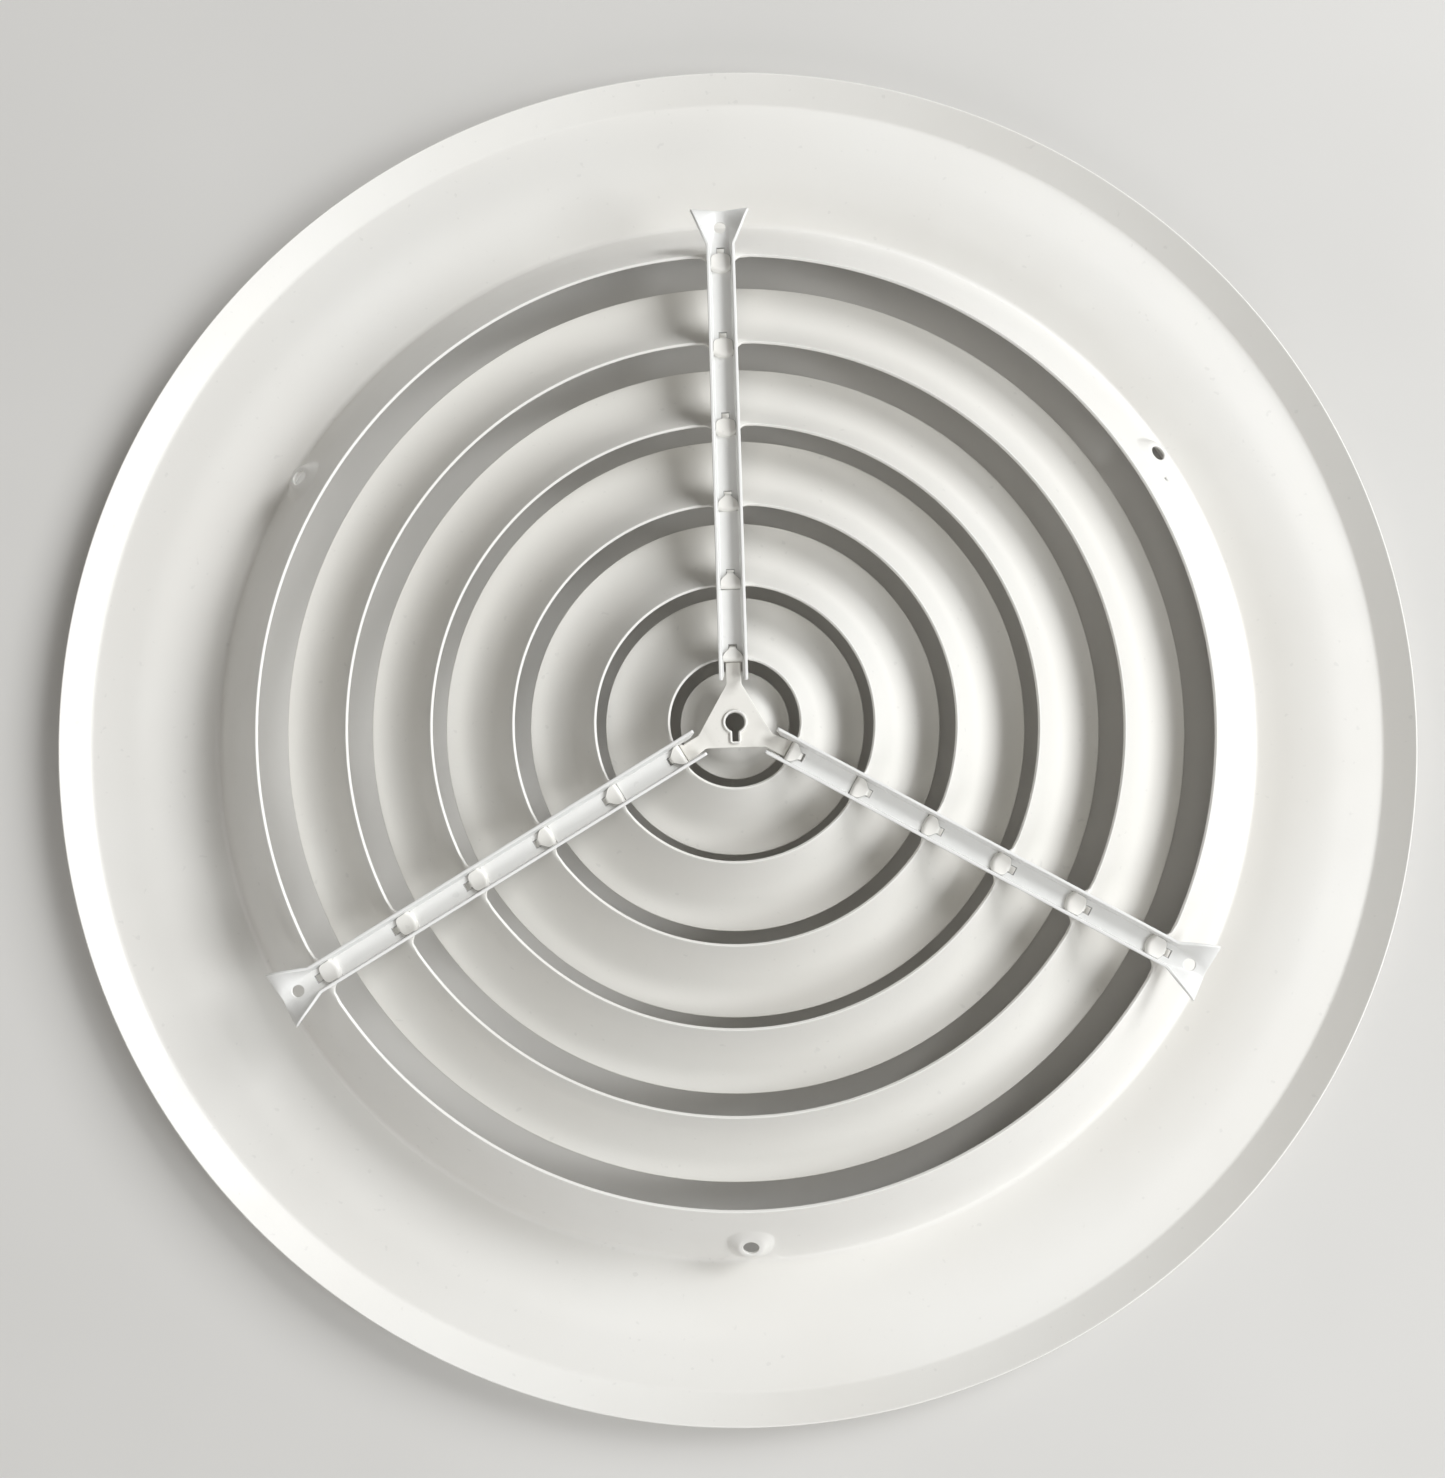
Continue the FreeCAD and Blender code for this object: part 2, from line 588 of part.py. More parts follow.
def centre_cone():
    """The small middle cone, with a keyhole collar drawn up through the hub and rolled over."""
    top_height = size("coneTopHeight") - HALF
    shoulder_angle = size("coneSteepAngle")
    start = Vector(size("keyholeRadius") / 2, top_height, 0)
    shoulder = Vector(size("coneShoulderRadius"), top_height, 0)
    edge = Vector(size("coneEdgeRadius") - HALF, size("coneEdgeHeight") + HALF, 0)
    foot = meet(shoulder, -shoulder_angle, edge, -size("ringFlatAngle"))
    section, left, right, caps = sheet_section(
        "cone_section", [start, shoulder, foot, edge],
        [size("coneShoulderBend"), size("coneBend")], UPRIGHT)
    drive_bend(section, left[1], right[1], size("coneShoulderBend"), -1, "shoulder",
               "coneShoulderBend")
    drive_bend(section, left[3], right[3], size("coneBend"), 1, "bend", "coneBend")
    place_point(section, caps[1], 3, edge, "edge", "dimensions.coneEdgeRadius - dimensions.sheet / 2",
                "dimensions.coneEdgeHeight + dimensions.sheet / 2")
    drive(section, "Angle", (left[2],), -math.radians(shoulder_angle), "steep",
          "-dimensions.coneSteepAngle * 1deg")
    drive(section, "Angle", (left[4],), -math.radians(size("ringFlatAngle")), "flat",
          "-dimensions.ringFlatAngle * 1deg")
    section.addConstraint(Sketcher.Constraint("Horizontal", left[0]))
    place_point(section, caps[0], 3, start, "start", "dimensions.keyholeRadius / 2",
                "dimensions.coneTopHeight - dimensions.sheet / 2")
    drive(section, "DistanceX", (-1, 1, left[1], 3),
          shoulder.x - size("coneShoulderBend") * math.tan(math.radians(shoulder_angle) / 2),
          "shoulder_place", "dimensions.coneShoulderRadius - dimensions.coneShoulderBend"
          " * tan(dimensions.coneSteepAngle * 1deg / 2)")
    shell = spin("cone_shell", section)

    wall = size("collarWall")
    hub_top = FLOOR_BOTTOM - CLEAR / 2
    collar = keyhole("collar_wall", top_height, hub_top + wall - top_height, wall)
    roll = keyhole("collar_roll", hub_top + CLEAR / 2, wall, 2 * wall)
    blank = fuse("cone_blank", [shell, collar, roll])
    window = keyhole("cone_keyhole", top_height - 2 * SHEET, hub_top - top_height + 4 * SHEET, 0.0)
    return cut("centre_cone", blank, window)


# ---------------------------------------------------------------- build, check and write

def main():
    nodes = [outer_frame()]
    nodes += [louvre_ring(number) for number in range(1, RING_COUNT + 1)]
    nodes += [hub_plate(), centre_cone()]
    nodes += [spoke_arm(number, angle) for number, angle in enumerate(ARM_ANGLES, start=1)]
    document.recompute()

    for item in document.Objects:
        if "Invalid" in item.State or "Error" in item.State:
            raise RuntimeError("%s did not compute: %s" % (item.Name, item.State))
    for node in nodes:
        if node.Shape.isNull() or not node.Shape.isValid() or not node.Shape.Solids:
            raise RuntimeError("%s has no valid solid" % node.Label)

    os.makedirs("parts", exist_ok=True)
    for node in nodes:
        node.Shape.exportStep("parts/%s.step" % node.Label)
        extent = node.Shape.optimalBoundingBox(True, False)
        print("%-16s solids %d  volume %9.1f  z %6.2f to %6.2f  radius %6.2f" % (
            node.Label, len(node.Shape.Solids), node.Shape.Volume,
            extent.ZMin, extent.ZMax, max(extent.XMax, extent.YMax)))


main()
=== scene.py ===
"""Looks of a round ceiling air diffuser of powder-coated sheet metal, built round its CAD frame.

The diffuser lies face down on a pale floor and is seen from its duct side. Every piece is
made as sheet metal is: the middle surface is laid out as points and faces, bent to shape,
and then thickened with rounded cut edges. Lengths in the shape code are millimetres.
"""
from math import asin, atan2, ceil, copysign, cos, degrees, hypot, pi, radians, sin, sqrt, tan
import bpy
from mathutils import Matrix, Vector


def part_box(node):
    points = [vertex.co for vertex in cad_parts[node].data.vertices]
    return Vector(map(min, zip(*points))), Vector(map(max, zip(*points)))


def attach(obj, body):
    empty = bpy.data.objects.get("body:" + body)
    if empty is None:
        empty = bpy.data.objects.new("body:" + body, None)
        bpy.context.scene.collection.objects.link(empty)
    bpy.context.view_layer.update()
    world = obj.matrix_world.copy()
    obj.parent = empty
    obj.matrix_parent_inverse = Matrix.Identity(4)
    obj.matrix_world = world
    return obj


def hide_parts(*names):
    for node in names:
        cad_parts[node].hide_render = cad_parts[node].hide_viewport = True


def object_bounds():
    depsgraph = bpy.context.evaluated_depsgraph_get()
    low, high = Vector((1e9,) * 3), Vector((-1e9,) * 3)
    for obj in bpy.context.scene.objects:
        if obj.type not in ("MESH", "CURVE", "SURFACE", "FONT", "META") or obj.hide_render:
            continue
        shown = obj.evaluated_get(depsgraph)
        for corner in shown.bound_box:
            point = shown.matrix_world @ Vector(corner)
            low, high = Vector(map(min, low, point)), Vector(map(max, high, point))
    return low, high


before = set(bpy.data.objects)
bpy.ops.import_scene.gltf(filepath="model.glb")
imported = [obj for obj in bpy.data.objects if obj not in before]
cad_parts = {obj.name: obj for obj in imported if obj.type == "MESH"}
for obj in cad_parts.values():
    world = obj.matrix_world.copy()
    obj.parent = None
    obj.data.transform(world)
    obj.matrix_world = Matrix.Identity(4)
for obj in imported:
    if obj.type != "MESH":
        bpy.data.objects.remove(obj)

from types import SimpleNamespace

import bpy
from mathutils import Euler, Matrix, Vector
from mathutils.geometry import delaunay_2d_cdt

cad_box = [list(corner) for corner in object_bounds()]

MM = 0.001
TINY = 0.001  # a margin for comparing lengths
ARM_ANGLES = (90.0, 210.0, 330.0)


# ---- sizes read from the frame

def high_low(node, axis):
    """A CAD node's lowest and highest place along an axis."""
    low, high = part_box(node)
    return low[axis] / MM, high[axis] / MM


def cad_points(node):
    """The corners of a CAD node's mesh in millimetres."""
    return [vertex.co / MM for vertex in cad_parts[node].data.vertices]


def flat_radius(point):
    """Distance from the diffuser's axis."""
    return hypot(point.x, point.y)


def outer_edge(points):
    """The middle of a sheet's outer edge, in its section (radius, height)."""
    return Vector((max(flat_radius(p) for p in points) - HALF, min(p.z for p in points) + HALF))


def clear_of_arms(points):
    """The points within about 14 degrees of the X axis, well away from the arms and ears."""
    return [p for p in points if abs(p.y) < 0.25 * abs(p.x)]


HUB_BOTTOM, HUB_TOP = high_low("hub_plate", 2)
SHEET = HUB_TOP - HUB_BOTTOM
HALF = SHEET / 2
FLOOR_BOTTOM = high_low("spoke_arm_1", 2)[0]
FLOOR_TOP = FLOOR_BOTTOM + SHEET
FLOOR_MIDDLE = FLOOR_BOTTOM + HALF
EDGE_ROUND = 0.3 * SHEET  # radius of the corners of a cut edge
END_REACH = HALF - EDGE_ROUND - 0.1 * SHEET  # how far a sheet's grid runs past its CAD path

EAR_HALF = 3.0 * SHEET
NUB_HALF = 0.9 * SHEET
NUB_LENGTH = 1.0 * SHEET
EAR_SLOPE = radians(7.0)
SLOT_PLAY = 0.2 * SHEET


def measure(node):
    """Where a ring's or the frame's middle line begins and ends, and its ears' places."""
    points = cad_points(node)
    plain = clear_of_arms(points)
    near_arm = [p for p in points if p.y > 0 and abs(p.x) < 1.05 * EAR_HALF]
    upper = [p for p in near_arm if p.z > FLOOR_TOP + 0.3 * SHEET]
    return SimpleNamespace(
        rim=Vector((min(flat_radius(p) for p in plain) + HALF, max(p.z for p in plain) - HALF)),
        edge=outer_edge(points),
        root=min(p.y for p in near_arm),
        tip=max(p.y for p in upper),
        ear_top=max(p.z for p in upper),
    )


RINGS = [measure("outer_frame")] + [measure("louvre_ring_%d" % number) for number in range(1, 6)]


# ---- sheets

class Shell:
    """The middle of a sheet: points and faces, half the thickness at each point, and painted shade for
    cut edges.
    """

    def __init__(self):
        self.points = []
        self.faces = []
        self.halves = []
        self.painted_edge_shade = {}

    def add(self, point, half=HALF, painted_edge_shade=0.0):
        """Add a point and give its number."""
        self.points.append(Vector(point))
        self.halves.append(half)
        if painted_edge_shade > 0:
            self.painted_edge_shade[len(self.points) - 1] = painted_edge_shade
        return len(self.points) - 1

    def strip(self, first, second):
        """Faces between two rows of the same length."""
        self.faces += zip(first, first[1:], second[1:], second)

    def bridge(self, loops):
        """Faces between each closed loop and the next; all have the same length."""
        for first, second in zip(loops, loops[1:]):
            self.strip(first + first[:1], second + second[:1])

    def normals(self):
        """A normal at each point, the mean of its faces' normals weighted by their corner angles."""
        totals = [Vector() for _ in self.points]
        for face in self.faces:
            corners = [self.points[i] for i in face]
            for k, index in enumerate(face):
                before = corners[k - 1] - corners[k]
                after = corners[k + 1 - len(corners)] - corners[k]
                if before.length > 1e-9 and after.length > 1e-9:
                    totals[index] += after.cross(before).normalized() * after.angle(before)
        return [total.normalized() for total in totals]


def compact(shell):
    """The same shell without the points that no face uses."""
    fresh = Shell()
    numbers = {}
    for index in sorted({index for face in shell.faces for index in face}):
        numbers[index] = fresh.add(shell.points[index], shell.halves[index],
                                   shell.painted_edge_shade.get(index, 0.0))
    fresh.faces = [tuple(numbers[i] for i in face) for face in shell.faces]
    return fresh


def block_border(rows, columns):
    """Row and column of each grid point on the border of a block, in order round it."""
    border = [(rows[0], c) for c in columns]
    border += [(r, columns[-1]) for r in rows[1:]]
    border += [(rows[-1], c) for c in reversed(columns[:-1])]
    border += [(r, columns[0]) for r in reversed(rows[1:-1])]
    return border


CORNER_STEPS = 3
THIN_ROUNDING = 0.8  # how much of a thin sheet's half its rounded corners take at most
LEAST_SPREAD = 0.7  # keeps sharp corners from reaching far out
BORDER_WEAR = 0.6  # wear right beside a cut edge


def cap_profile():
    """How a cut edge is rounded: share along the normal and share outwards, top to bottom."""
    turns = quarter_turn(CORNER_STEPS)
    upper = [(1, cos(turn), sin(turn)) for turn in turns]
    lower = [(-1, cos(turn), sin(turn)) for turn in reversed(turns)]
    return upper + lower


def thicken(shell):
    """Both faces of the sheet and its cut edges: points, faces, normals, edge wear and painted shade.
    """
    normals = shell.normals()
    count = len(shell.points)
    points = [p + n * h for p, n, h in zip(shell.points, normals, shell.halves)]
    points += [p - n * h for p, n, h in zip(shell.points, normals, shell.halves)]
    directions = normals + [-n for n in normals]
    marks = [0.0] * (2 * count)
    shade_levels = [0.0] * (2 * count)
    faces = [tuple(face) for face in shell.faces]
    faces += [tuple(i + count for i in reversed(face)) for face in shell.faces]

    used = {side for face in shell.faces for side in zip(face, face[1:] + face[:1])}
    border = [(a, b) for a, b in used if (b, a) not in used]
    outward = {}
    for a, b in border:
        side = (shell.points[b] - shell.points[a]).cross(normals[a] + normals[b]).normalized()
        outward.setdefault(a, []).append(side)
        outward.setdefault(b, []).append(side)

    profile = cap_profile()
    rows = {}
    for index in sorted(outward):
        point, normal, sides = shell.points[index], normals[index], outward[index]
        total = sum(sides, Vector())
        away = (total - normal * total.dot(normal)).normalized()
        stretch = 1.0 / max(LEAST_SPREAD, away.dot(sides[0]))
        half = shell.halves[index]
        rounding = min(EDGE_ROUND, THIN_ROUNDING * half)
        row = [index]
        for sign, level, out in profile[1:-1]:
            rise = sign * (half - rounding + rounding * level)
            points.append(point + normal * rise + away * (rounding * out * stretch))
            directions.append((normal * (sign * level) + away * out).normalized())
            marks.append(1.0)
            # the cut edge takes its point's painted shade, a stand-in for the shadow in the gap beside
            # it
            shade_levels.append(shell.painted_edge_shade.get(index, 0.0))
            row.append(len(points) - 1)
        row.append(index + count)
        marks[index] = BORDER_WEAR
        marks[index + count] = BORDER_WEAR
        rows[index] = row
    for a, b in sorted(border):
        for k in range(len(profile) - 1):
            faces.append((rows[b][k], rows[a][k], rows[a][k + 1], rows[b][k + 1]))
    return points, faces, directions, marks, shade_levels


def new_object(name, data):
    """A new object in the scene."""
    made = bpy.data.objects.new(name, data)
    bpy.context.scene.collection.objects.link(made)
    return made


def make_piece(name, shell, node, material, turn=0.0):
    """A Blender object from a shell; it stands for a CAD node and rides on the one body."""
    points, faces, directions, marks, shade_levels = thicken(shell)
    spin = Matrix.Rotation(radians(turn), 3, "Z")
    mesh = bpy.data.meshes.new(name)
    mesh.from_pydata([spin @ p * MM for p in points], [], faces)
    mesh.polygons.foreach_set("use_smooth", [True] * len(mesh.polygons))
    mesh.normals_split_custom_set_from_vertices([spin @ d for d in directions])
    cut_edge = mesh.attributes.new("cut_edge", "FLOAT", "POINT")
    cut_edge.data.foreach_set("value", marks)
    # painted shade for marked cut edges, read by the coat to stand in for contact shadow
    painted_edge_shade = mesh.attributes.new("painted_edge_shade", "FLOAT", "POINT")
    painted_edge_shade.data.foreach_set("value", shade_levels)
    mesh.materials.append(material)
    piece = new_object(name, mesh)
    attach(piece, "root")
    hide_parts(node)


# ---- paths and spacings

def unit(angle):
    """A flat vector of length 1 at an angle in degrees."""
    return Vector((cos(radians(angle)), sin(radians(angle))))


def turned_flat(point, angle):
    """A flat point turned about the middle, by degrees."""
    turn = radians(angle)
    return Vector((point.x * cos(turn) - point.y * sin(turn),
                   point.x * sin(turn) + point.y * cos(turn)))


def meet(first, first_angle, second, second_angle):
    """Where two lines cross, each given by a point and an angle in degrees."""
    a = unit(first_angle)
    b = unit(second_angle)
    gap = second - first
    return first + a * ((gap.x * b.y - gap.y * b.x) / (a.x * b.y - a.y * b.x))


def bent_path(corners, bends):
    """Straight runs joined by arcs: for each, distance so far, length, start, heading and arc."""
    pieces = []
    travelled = 0.0
    heading = (corners[1] - corners[0]).normalized()
    start = corners[0]
    for corner, following, bend in zip(corners[1:-1], corners[2:], bends):
        after = (following - corner).normalized()
        turn = heading.angle(after)
        setback = bend * tan(turn / 2)
        end = corner - heading * setback
        pieces.append((travelled, (end - start).length, start, heading, None))
        travelled += (end - start).length
        side = Vector((-heading.y, heading.x))
        if side.dot(after) < 0:
            side = -side
        pieces.append((travelled, bend * turn, end, heading, (side, bend)))
        travelled += bend * turn
        start = corner + after * setback
        heading = after
    pieces.append((travelled, (corners[-1] - start).length, start, heading, None))
    return pieces


def along(path, distance):
    """The point at a distance along a bent path; it runs on straight past both ends."""
    piece = path[0]
    for candidate in path:
        if distance >= candidate[0]:
            piece = candidate
    begun, _, start, heading, arc = piece
    way = distance - begun
    if arc is None:
        return start + heading * way
    side, bend = arc
    return start + side * bend * (1 - cos(way / bend)) + heading * bend * sin(way / bend)


def path_length(path):
    """Length of a bent path, with its bends."""
    return path[-1][0] + path[-1][1]


def spaced(start, end, step):
    """Even stops from start to end, no further apart than step, without the end."""
    count = max(1, ceil(abs(end - start) / step - 1e-9))
    return [start + (end - start) * k / count for k in range(count)]


def path_stops(path, straight_step, arc_turn=0.12):
    """Distances along a path that follow its bends closely."""
    stops = []
    for begun, length, _, _, arc in path:
        step = straight_step if arc is None else min(straight_step, arc[1] * arc_turn)
        if length > 1e-6:
            stops += spaced(begun, begun + length, step)
    return stops + [path_length(path)]


def thinned(stops, gap):
    """Sorted stops without those that come too soon after the one before."""
    kept = []
    for stop in sorted(stops):
        if not kept or stop - kept[-1] > gap:
            kept.append(stop)
    return kept


def quarter_turn(steps):
    """Even angles from 0 to a quarter turn, in radians."""
    return [pi / 2 * step / steps for step in range(steps + 1)]


def halved(low, high, beyond):
    """Where, between low and high, beyond(place) turns true, found by halving."""
    for _ in range(30):
        middle = (low + high) / 2
        if beyond(middle):
            high = middle
        else:
            low = middle
    return (low + high) / 2


def smooth(share):
    """An S-shaped ramp from 0 to 1."""
    share = min(1.0, max(0.0, share))
    return share * share * (3 - 2 * share)


# ---- frame and rings

NECK_ANGLE = 56.0  # slopes from the horizontal, in degrees
RISE_ANGLE = 24.0
LIP_ANGLE = 35.0
RING_RIM_ANGLE = 50.0
RING_EDGE_ANGLE = 6.0
NOSE_BEND = 2.5 * SHEET  # radii of the middle line
RISE_BEND = 45.0 * SHEET
CREASE_BEND = 2.5 * SHEET
RING_BEND = 22.0 * SHEET


def frame_path():
    """The frame's middle line from the neck rim round the nose to the ceiling lip."""
    rim = RINGS[0].rim
    drop = rim.y - HALF - NOSE_BEND * (1 - cos(radians(NECK_ANGLE)))
    nose_start = rim + unit(-NECK_ANGLE) * (drop / sin(radians(NECK_ANGLE)))
    nose_centre = nose_start + unit(90 - NECK_ANGLE) * NOSE_BEND
    nose_end = nose_centre + unit(RISE_ANGLE - 90) * NOSE_BEND
    nose = meet(rim, -NECK_ANGLE, nose_end, RISE_ANGLE)
    ledge = Vector((RINGS[0].edge.x, LEDGE_HEIGHT - HALF))
    ledge_start = meet(nose, RISE_ANGLE, ledge, 180)
    lip = Vector((RINGS[0].edge.x, LIP_HEIGHT - HALF))
    crease = meet(ledge_start, 0, lip, LIP_ANGLE)
    return bent_path([rim, nose, ledge_start, crease, lip], [NOSE_BEND, RISE_BEND, CREASE_BEND])


def ring_path(number):
    """A ring's middle line: steep from the rim, then curving out nearly flat to the edge."""
    rim, edge = RINGS[number].rim, RINGS[number].edge
    corner = meet(rim, -RING_RIM_ANGLE, edge, -RING_EDGE_ANGLE)
    return bent_path([rim, corner, edge], [RING_BEND])


def frame_heights():
    """Top of the ledge and top of the lip, read from the frame's CAD mesh."""
    points = clear_of_arms(cad_points("outer_frame"))
    reach = max(flat_radius(p) for p in points)
    outer = [p.z for p in points if flat_radius(p) > 0.92 * reach]
    return min(outer) + SHEET, max(outer)


LEDGE_HEIGHT, LIP_HEIGHT = frame_heights()

BULGES = (1.1, 1.15, 1.1, 0.5, 0.2, 0.05)  # how far each fold's root bows inwards, in sheets
LAST_ROUND_TOP = 2  # the frame's and the first two rings' ears end in half circles
PLAIN_STEPS = (0.8, 1.0, 1.2, 1.5, 2.0, 3.0)  # degrees between columns away from the ears
GATHER = 4.0 * SHEET  # how much wider than the ear each half of a fold's foot is
FOLD_START = 5.0 * SHEET  # how far below the rim a fold's path begins
FOOT_REACH = 3.5 * SHEET  # how far beyond the rim the foot ends at most
FOOT_TAPER = 0.6  # power of the foot's curve
DOME_POWER = 1.25  # power of the curve from an ear's sides to its nub
SETTLING = 2.0 * SHEET  # length over which one shape turns into the next
RIM_BEND = 2.0 * SHEET  # largest bend radii of a fold, from the rim to the nub
ROOT_BEND = 1.0 * SHEET
TOP_BEND = 0.75 * SHEET
NUB_BEND = 0.55 * SHEET
BEND_SHARE = 0.45  # how much of the run under the arm a bend takes at most
FOOT_SHARE = 0.9  # how much of it the foot takes at most
NUB_SET_BACK = 0.95 * NUB_LENGTH  # from an ear's tip back to its nub's bend
NUB_LEAN = 0.35 * NUB_LENGTH


class Fold:
    """The path of one ear: over the rim, in under the arm, up its slot and out over its floor."""

    def __init__(self, number, path):
        sizes = RINGS[number]
        rim = sizes.rim
        root_middle = sizes.root + HALF
        run = rim.x - root_middle
        top = sizes.ear_top - HALF / cos(EAR_SLOPE)
        dip = sizes.tip - NUB_SET_BACK
        dip_height = top - (dip - root_middle) * tan(EAR_SLOPE)
        corners = [
            along(path, FOLD_START),
            rim,
            Vector((root_middle, rim.y)),
            Vector((root_middle, top)),
            Vector((dip, dip_height)),
            Vector((dip + NUB_LEAN, dip_height - NUB_LENGTH)),
        ]
        rim_bend = min(RIM_BEND, BEND_SHARE * run / tan(radians(NECK_ANGLE / 2)))
        root_bend = min(ROOT_BEND, BEND_SHARE * run)
        self.path = bent_path(corners, [rim_bend, root_bend, TOP_BEND, NUB_BEND])
        self.length = path_length(self.path)
        self.reach = min(FOOT_REACH, FOOT_SHARE * run)
        self.root = self.path[3][0]
        self.bulge = BULGES[number] * SHEET
        self.round_top = number <= LAST_ROUND_TOP

    def half_width(self, beyond):
        """Half the strip's width at a distance beyond the rim: foot, straight part, then dome."""
        foot = EAR_HALF
        if beyond < self.reach:
            foot += GATHER * (1 - (max(beyond, 0.0) / self.reach) ** FOOT_TAPER)
        past_nub = self.length - FOLD_START - beyond - NUB_LENGTH
        if past_nub <= 0:
            return NUB_HALF
        if past_nub >= EAR_HALF:
            return foot
        if self.round_top:
            dome = sqrt(EAR_HALF ** 2 - (EAR_HALF - past_nub) ** 2)
        else:
            swell = sin(pi / 2 * past_nub / EAR_HALF) ** DOME_POWER
            dome = NUB_HALF + (EAR_HALF - NUB_HALF) * swell
        return max(dome, NUB_HALF)

    def place(self, distance, across, angle, rim_radius):
        """A point of the fold: distance from the path's start, across in millimetres."""
        spot = along(self.path, distance)
        raised = smooth((distance - self.root + SETTLING) / SETTLING)
        sideways = min(1.0, abs(across) / EAR_HALF)
        out = spot.x - self.bulge * raised * (1 - sideways ** 2)
        bow = across / rim_radius
        polar = Vector((sin(bow) * out, cos(bow) * out))
        straight = Vector((across, out))
        local = polar.lerp(straight, smooth((distance - FOLD_START) / SETTLING))
        return Vector((*turned_flat(local, angle - 90), spot.y))


EAR_STEPS = [0.15, 0.3, 0.45, 0.6, 0.74, 0.86, 0.95, 1.0]
EAR_COLUMNS = [-step for step in reversed(EAR_STEPS)] + [0.0] + EAR_STEPS
DOME_STEPS = 10
FOOT_HALF = EAR_HALF + GATHER


def fold_stops(fold):
    """Distances beyond the rim, close together in bends, in the foot and round the dome."""
    end = fold.length - FOLD_START
    dome = end - NUB_LENGTH
    stops = [stop - FOLD_START for stop in path_stops(fold.path, 0.6 * SHEET, 0.2)]
    stops += spaced(0, fold.reach, 0.2 * SHEET)
    stops += [dome - EAR_HALF * (1 - cos(turn)) for turn in quarter_turn(DOME_STEPS)]
    stops += [end - NUB_LENGTH / 2, end]
    return thinned({round(stop, 4) for stop in stops if stop > 0.05 * SHEET}, 0.06 * SHEET)


def columns_around(rim_radius, plain_step):
    """Azimuths round a ring as (angle, ear number, across), fine and even over each ear."""
    half_foot = degrees(FOOT_HALF / rim_radius)
    steps = []
    width = 0.5 * SHEET / rim_radius
    growth = 1.35  # of each step over the one nearer the ear
    last_reach = 0.16
    reach = 0.0
    while reach < last_reach and width < radians(plain_step):
        reach += width
        steps.append(degrees(reach))
        width *= growth
    columns = []
    for ear, centre in enumerate(ARM_ANGLES):
        for share in EAR_COLUMNS:
            across = share * FOOT_HALF
            columns.append((centre - degrees(across / rim_radius), ear, across))
        for side in (1, -1):
            for step in steps:
                across = -side * (FOOT_HALF + radians(step) * rim_radius)
                columns.append((centre + side * (half_foot + step), ear, across))
        columns += [(angle, None, None) for angle in
                    spaced(centre + half_foot + steps[-1] + plain_step / 2,
                           centre + 120 - half_foot - steps[-1] - plain_step / 4, plain_step)]
    return sorted(columns, key=lambda column: column[0] % 360)


def revolved(point, angle):
    """A point of a section (radius, height) turned to an azimuth."""
    return Vector((*(unit(angle) * point.x), point.y))


CURL_REACH = 3.0 * SHEET  # how far beside a fold's foot the rim's curl fades out
EDGE_SHADE_START = 0.4 * SHEET  # how far into its root's bend an ear's cut edges begin to get painted shade


def ring_stops(path, straight_step):
    """Distances along a ring's path from the cut edge of its rim to the outer cut edge."""
    length = path_length(path)
    end = length + END_REACH
    stops = {-END_REACH, FOLD_START, end - 0.25 * SHEET, end}
    stops |= set(path_stops(path, straight_step)) - {length}
    stops |= set(spaced(0, FOLD_START, 0.35 * SHEET))
    return thinned(stops, 0.12 * SHEET)


def ring_shell(number, path, straight_step):
    """A turned sheet with three folded ears; also the rows, columns and stops of its grid."""
    fold = Fold(number, path)
    rim_radius = RINGS[number].rim.x
    stops = ring_stops(path, straight_step)[::-1]
    columns = columns_around(rim_radius, PLAIN_STEPS[number])
    shell = Shell()
    rows = []
    for stop in stops:
        row = []
        for angle, ear, across in columns:
            point = revolved(along(path, stop), angle)
            if ear is not None and stop < FOLD_START:
                curl = 1 - smooth((abs(across) - FOOT_HALF) / CURL_REACH)
                if curl > 0:
                    folded = fold.place(FOLD_START - stop, across, ARM_ANGLES[ear], rim_radius)
                    point = point.lerp(folded, curl)
            row.append(shell.add(point))
        rows.append(row)
    shell.bridge(rows)

    ear_stops = [beyond for beyond in fold_stops(fold) if beyond > END_REACH + 0.05 * SHEET]
    for ear, angle in enumerate(ARM_ANGLES):
        members = [k for k, column in enumerate(columns)
                   if column[1] == ear and abs(column[2]) <= FOOT_HALF + TINY]
        below = [rows[-1][k] for k in members]
        for beyond in ear_stops:
            distance = FOLD_START + beyond
            width = fold.half_width(beyond)
            # Past the root's bend the ear's cut edges get painted shade, standing in for the shadow in
            # the gap between ear and arm floor.
            painted_edge_shade = 1.0 if distance > fold.root + EDGE_SHADE_START else 0.0
            row = []
            for k in members:
                across = columns[k][2] / FOOT_HALF * width
                row.append(shell.add(fold.place(distance, across, angle, rim_radius), HALF, painted_edge_shade))
            shell.strip(below, row)
            below = row
    return shell, rows, columns, stops


# ---- screw bosses

BOSS_ANGLES = (31.2, 148.4, 270.0)
BOSS_RADIUS = 164.0  # where a boss's axis meets the middle of the neck
BOSS_HEIGHT = 2.7  # from the neck to the middle of a boss's head
BOSS_TILT = radians(24.0)  # between the neck and the head
BOSS_SIDE = 7.8  # the foot's reach to each side
BOSS_UPPER = 8.8  # its reach up the neck
BOSS_LOWER = 17.0  # its reach down the neck
BOSS_HEAD = 3.5  # radius of the head
BOSS_HOLE = 2.5  # radius of the hole
BOSS_BELOW_POWER = 3.0  # a larger power gives the foot a fuller outline
BOSS_ABOVE_POWER = 2.0
BOSS_LOOPS = (BOSS_HOLE + EDGE_ROUND, 3.05, 3.35)  # radii of the loops of points on the head
BOSS_STEPS = 10  # steps from the head to the foot
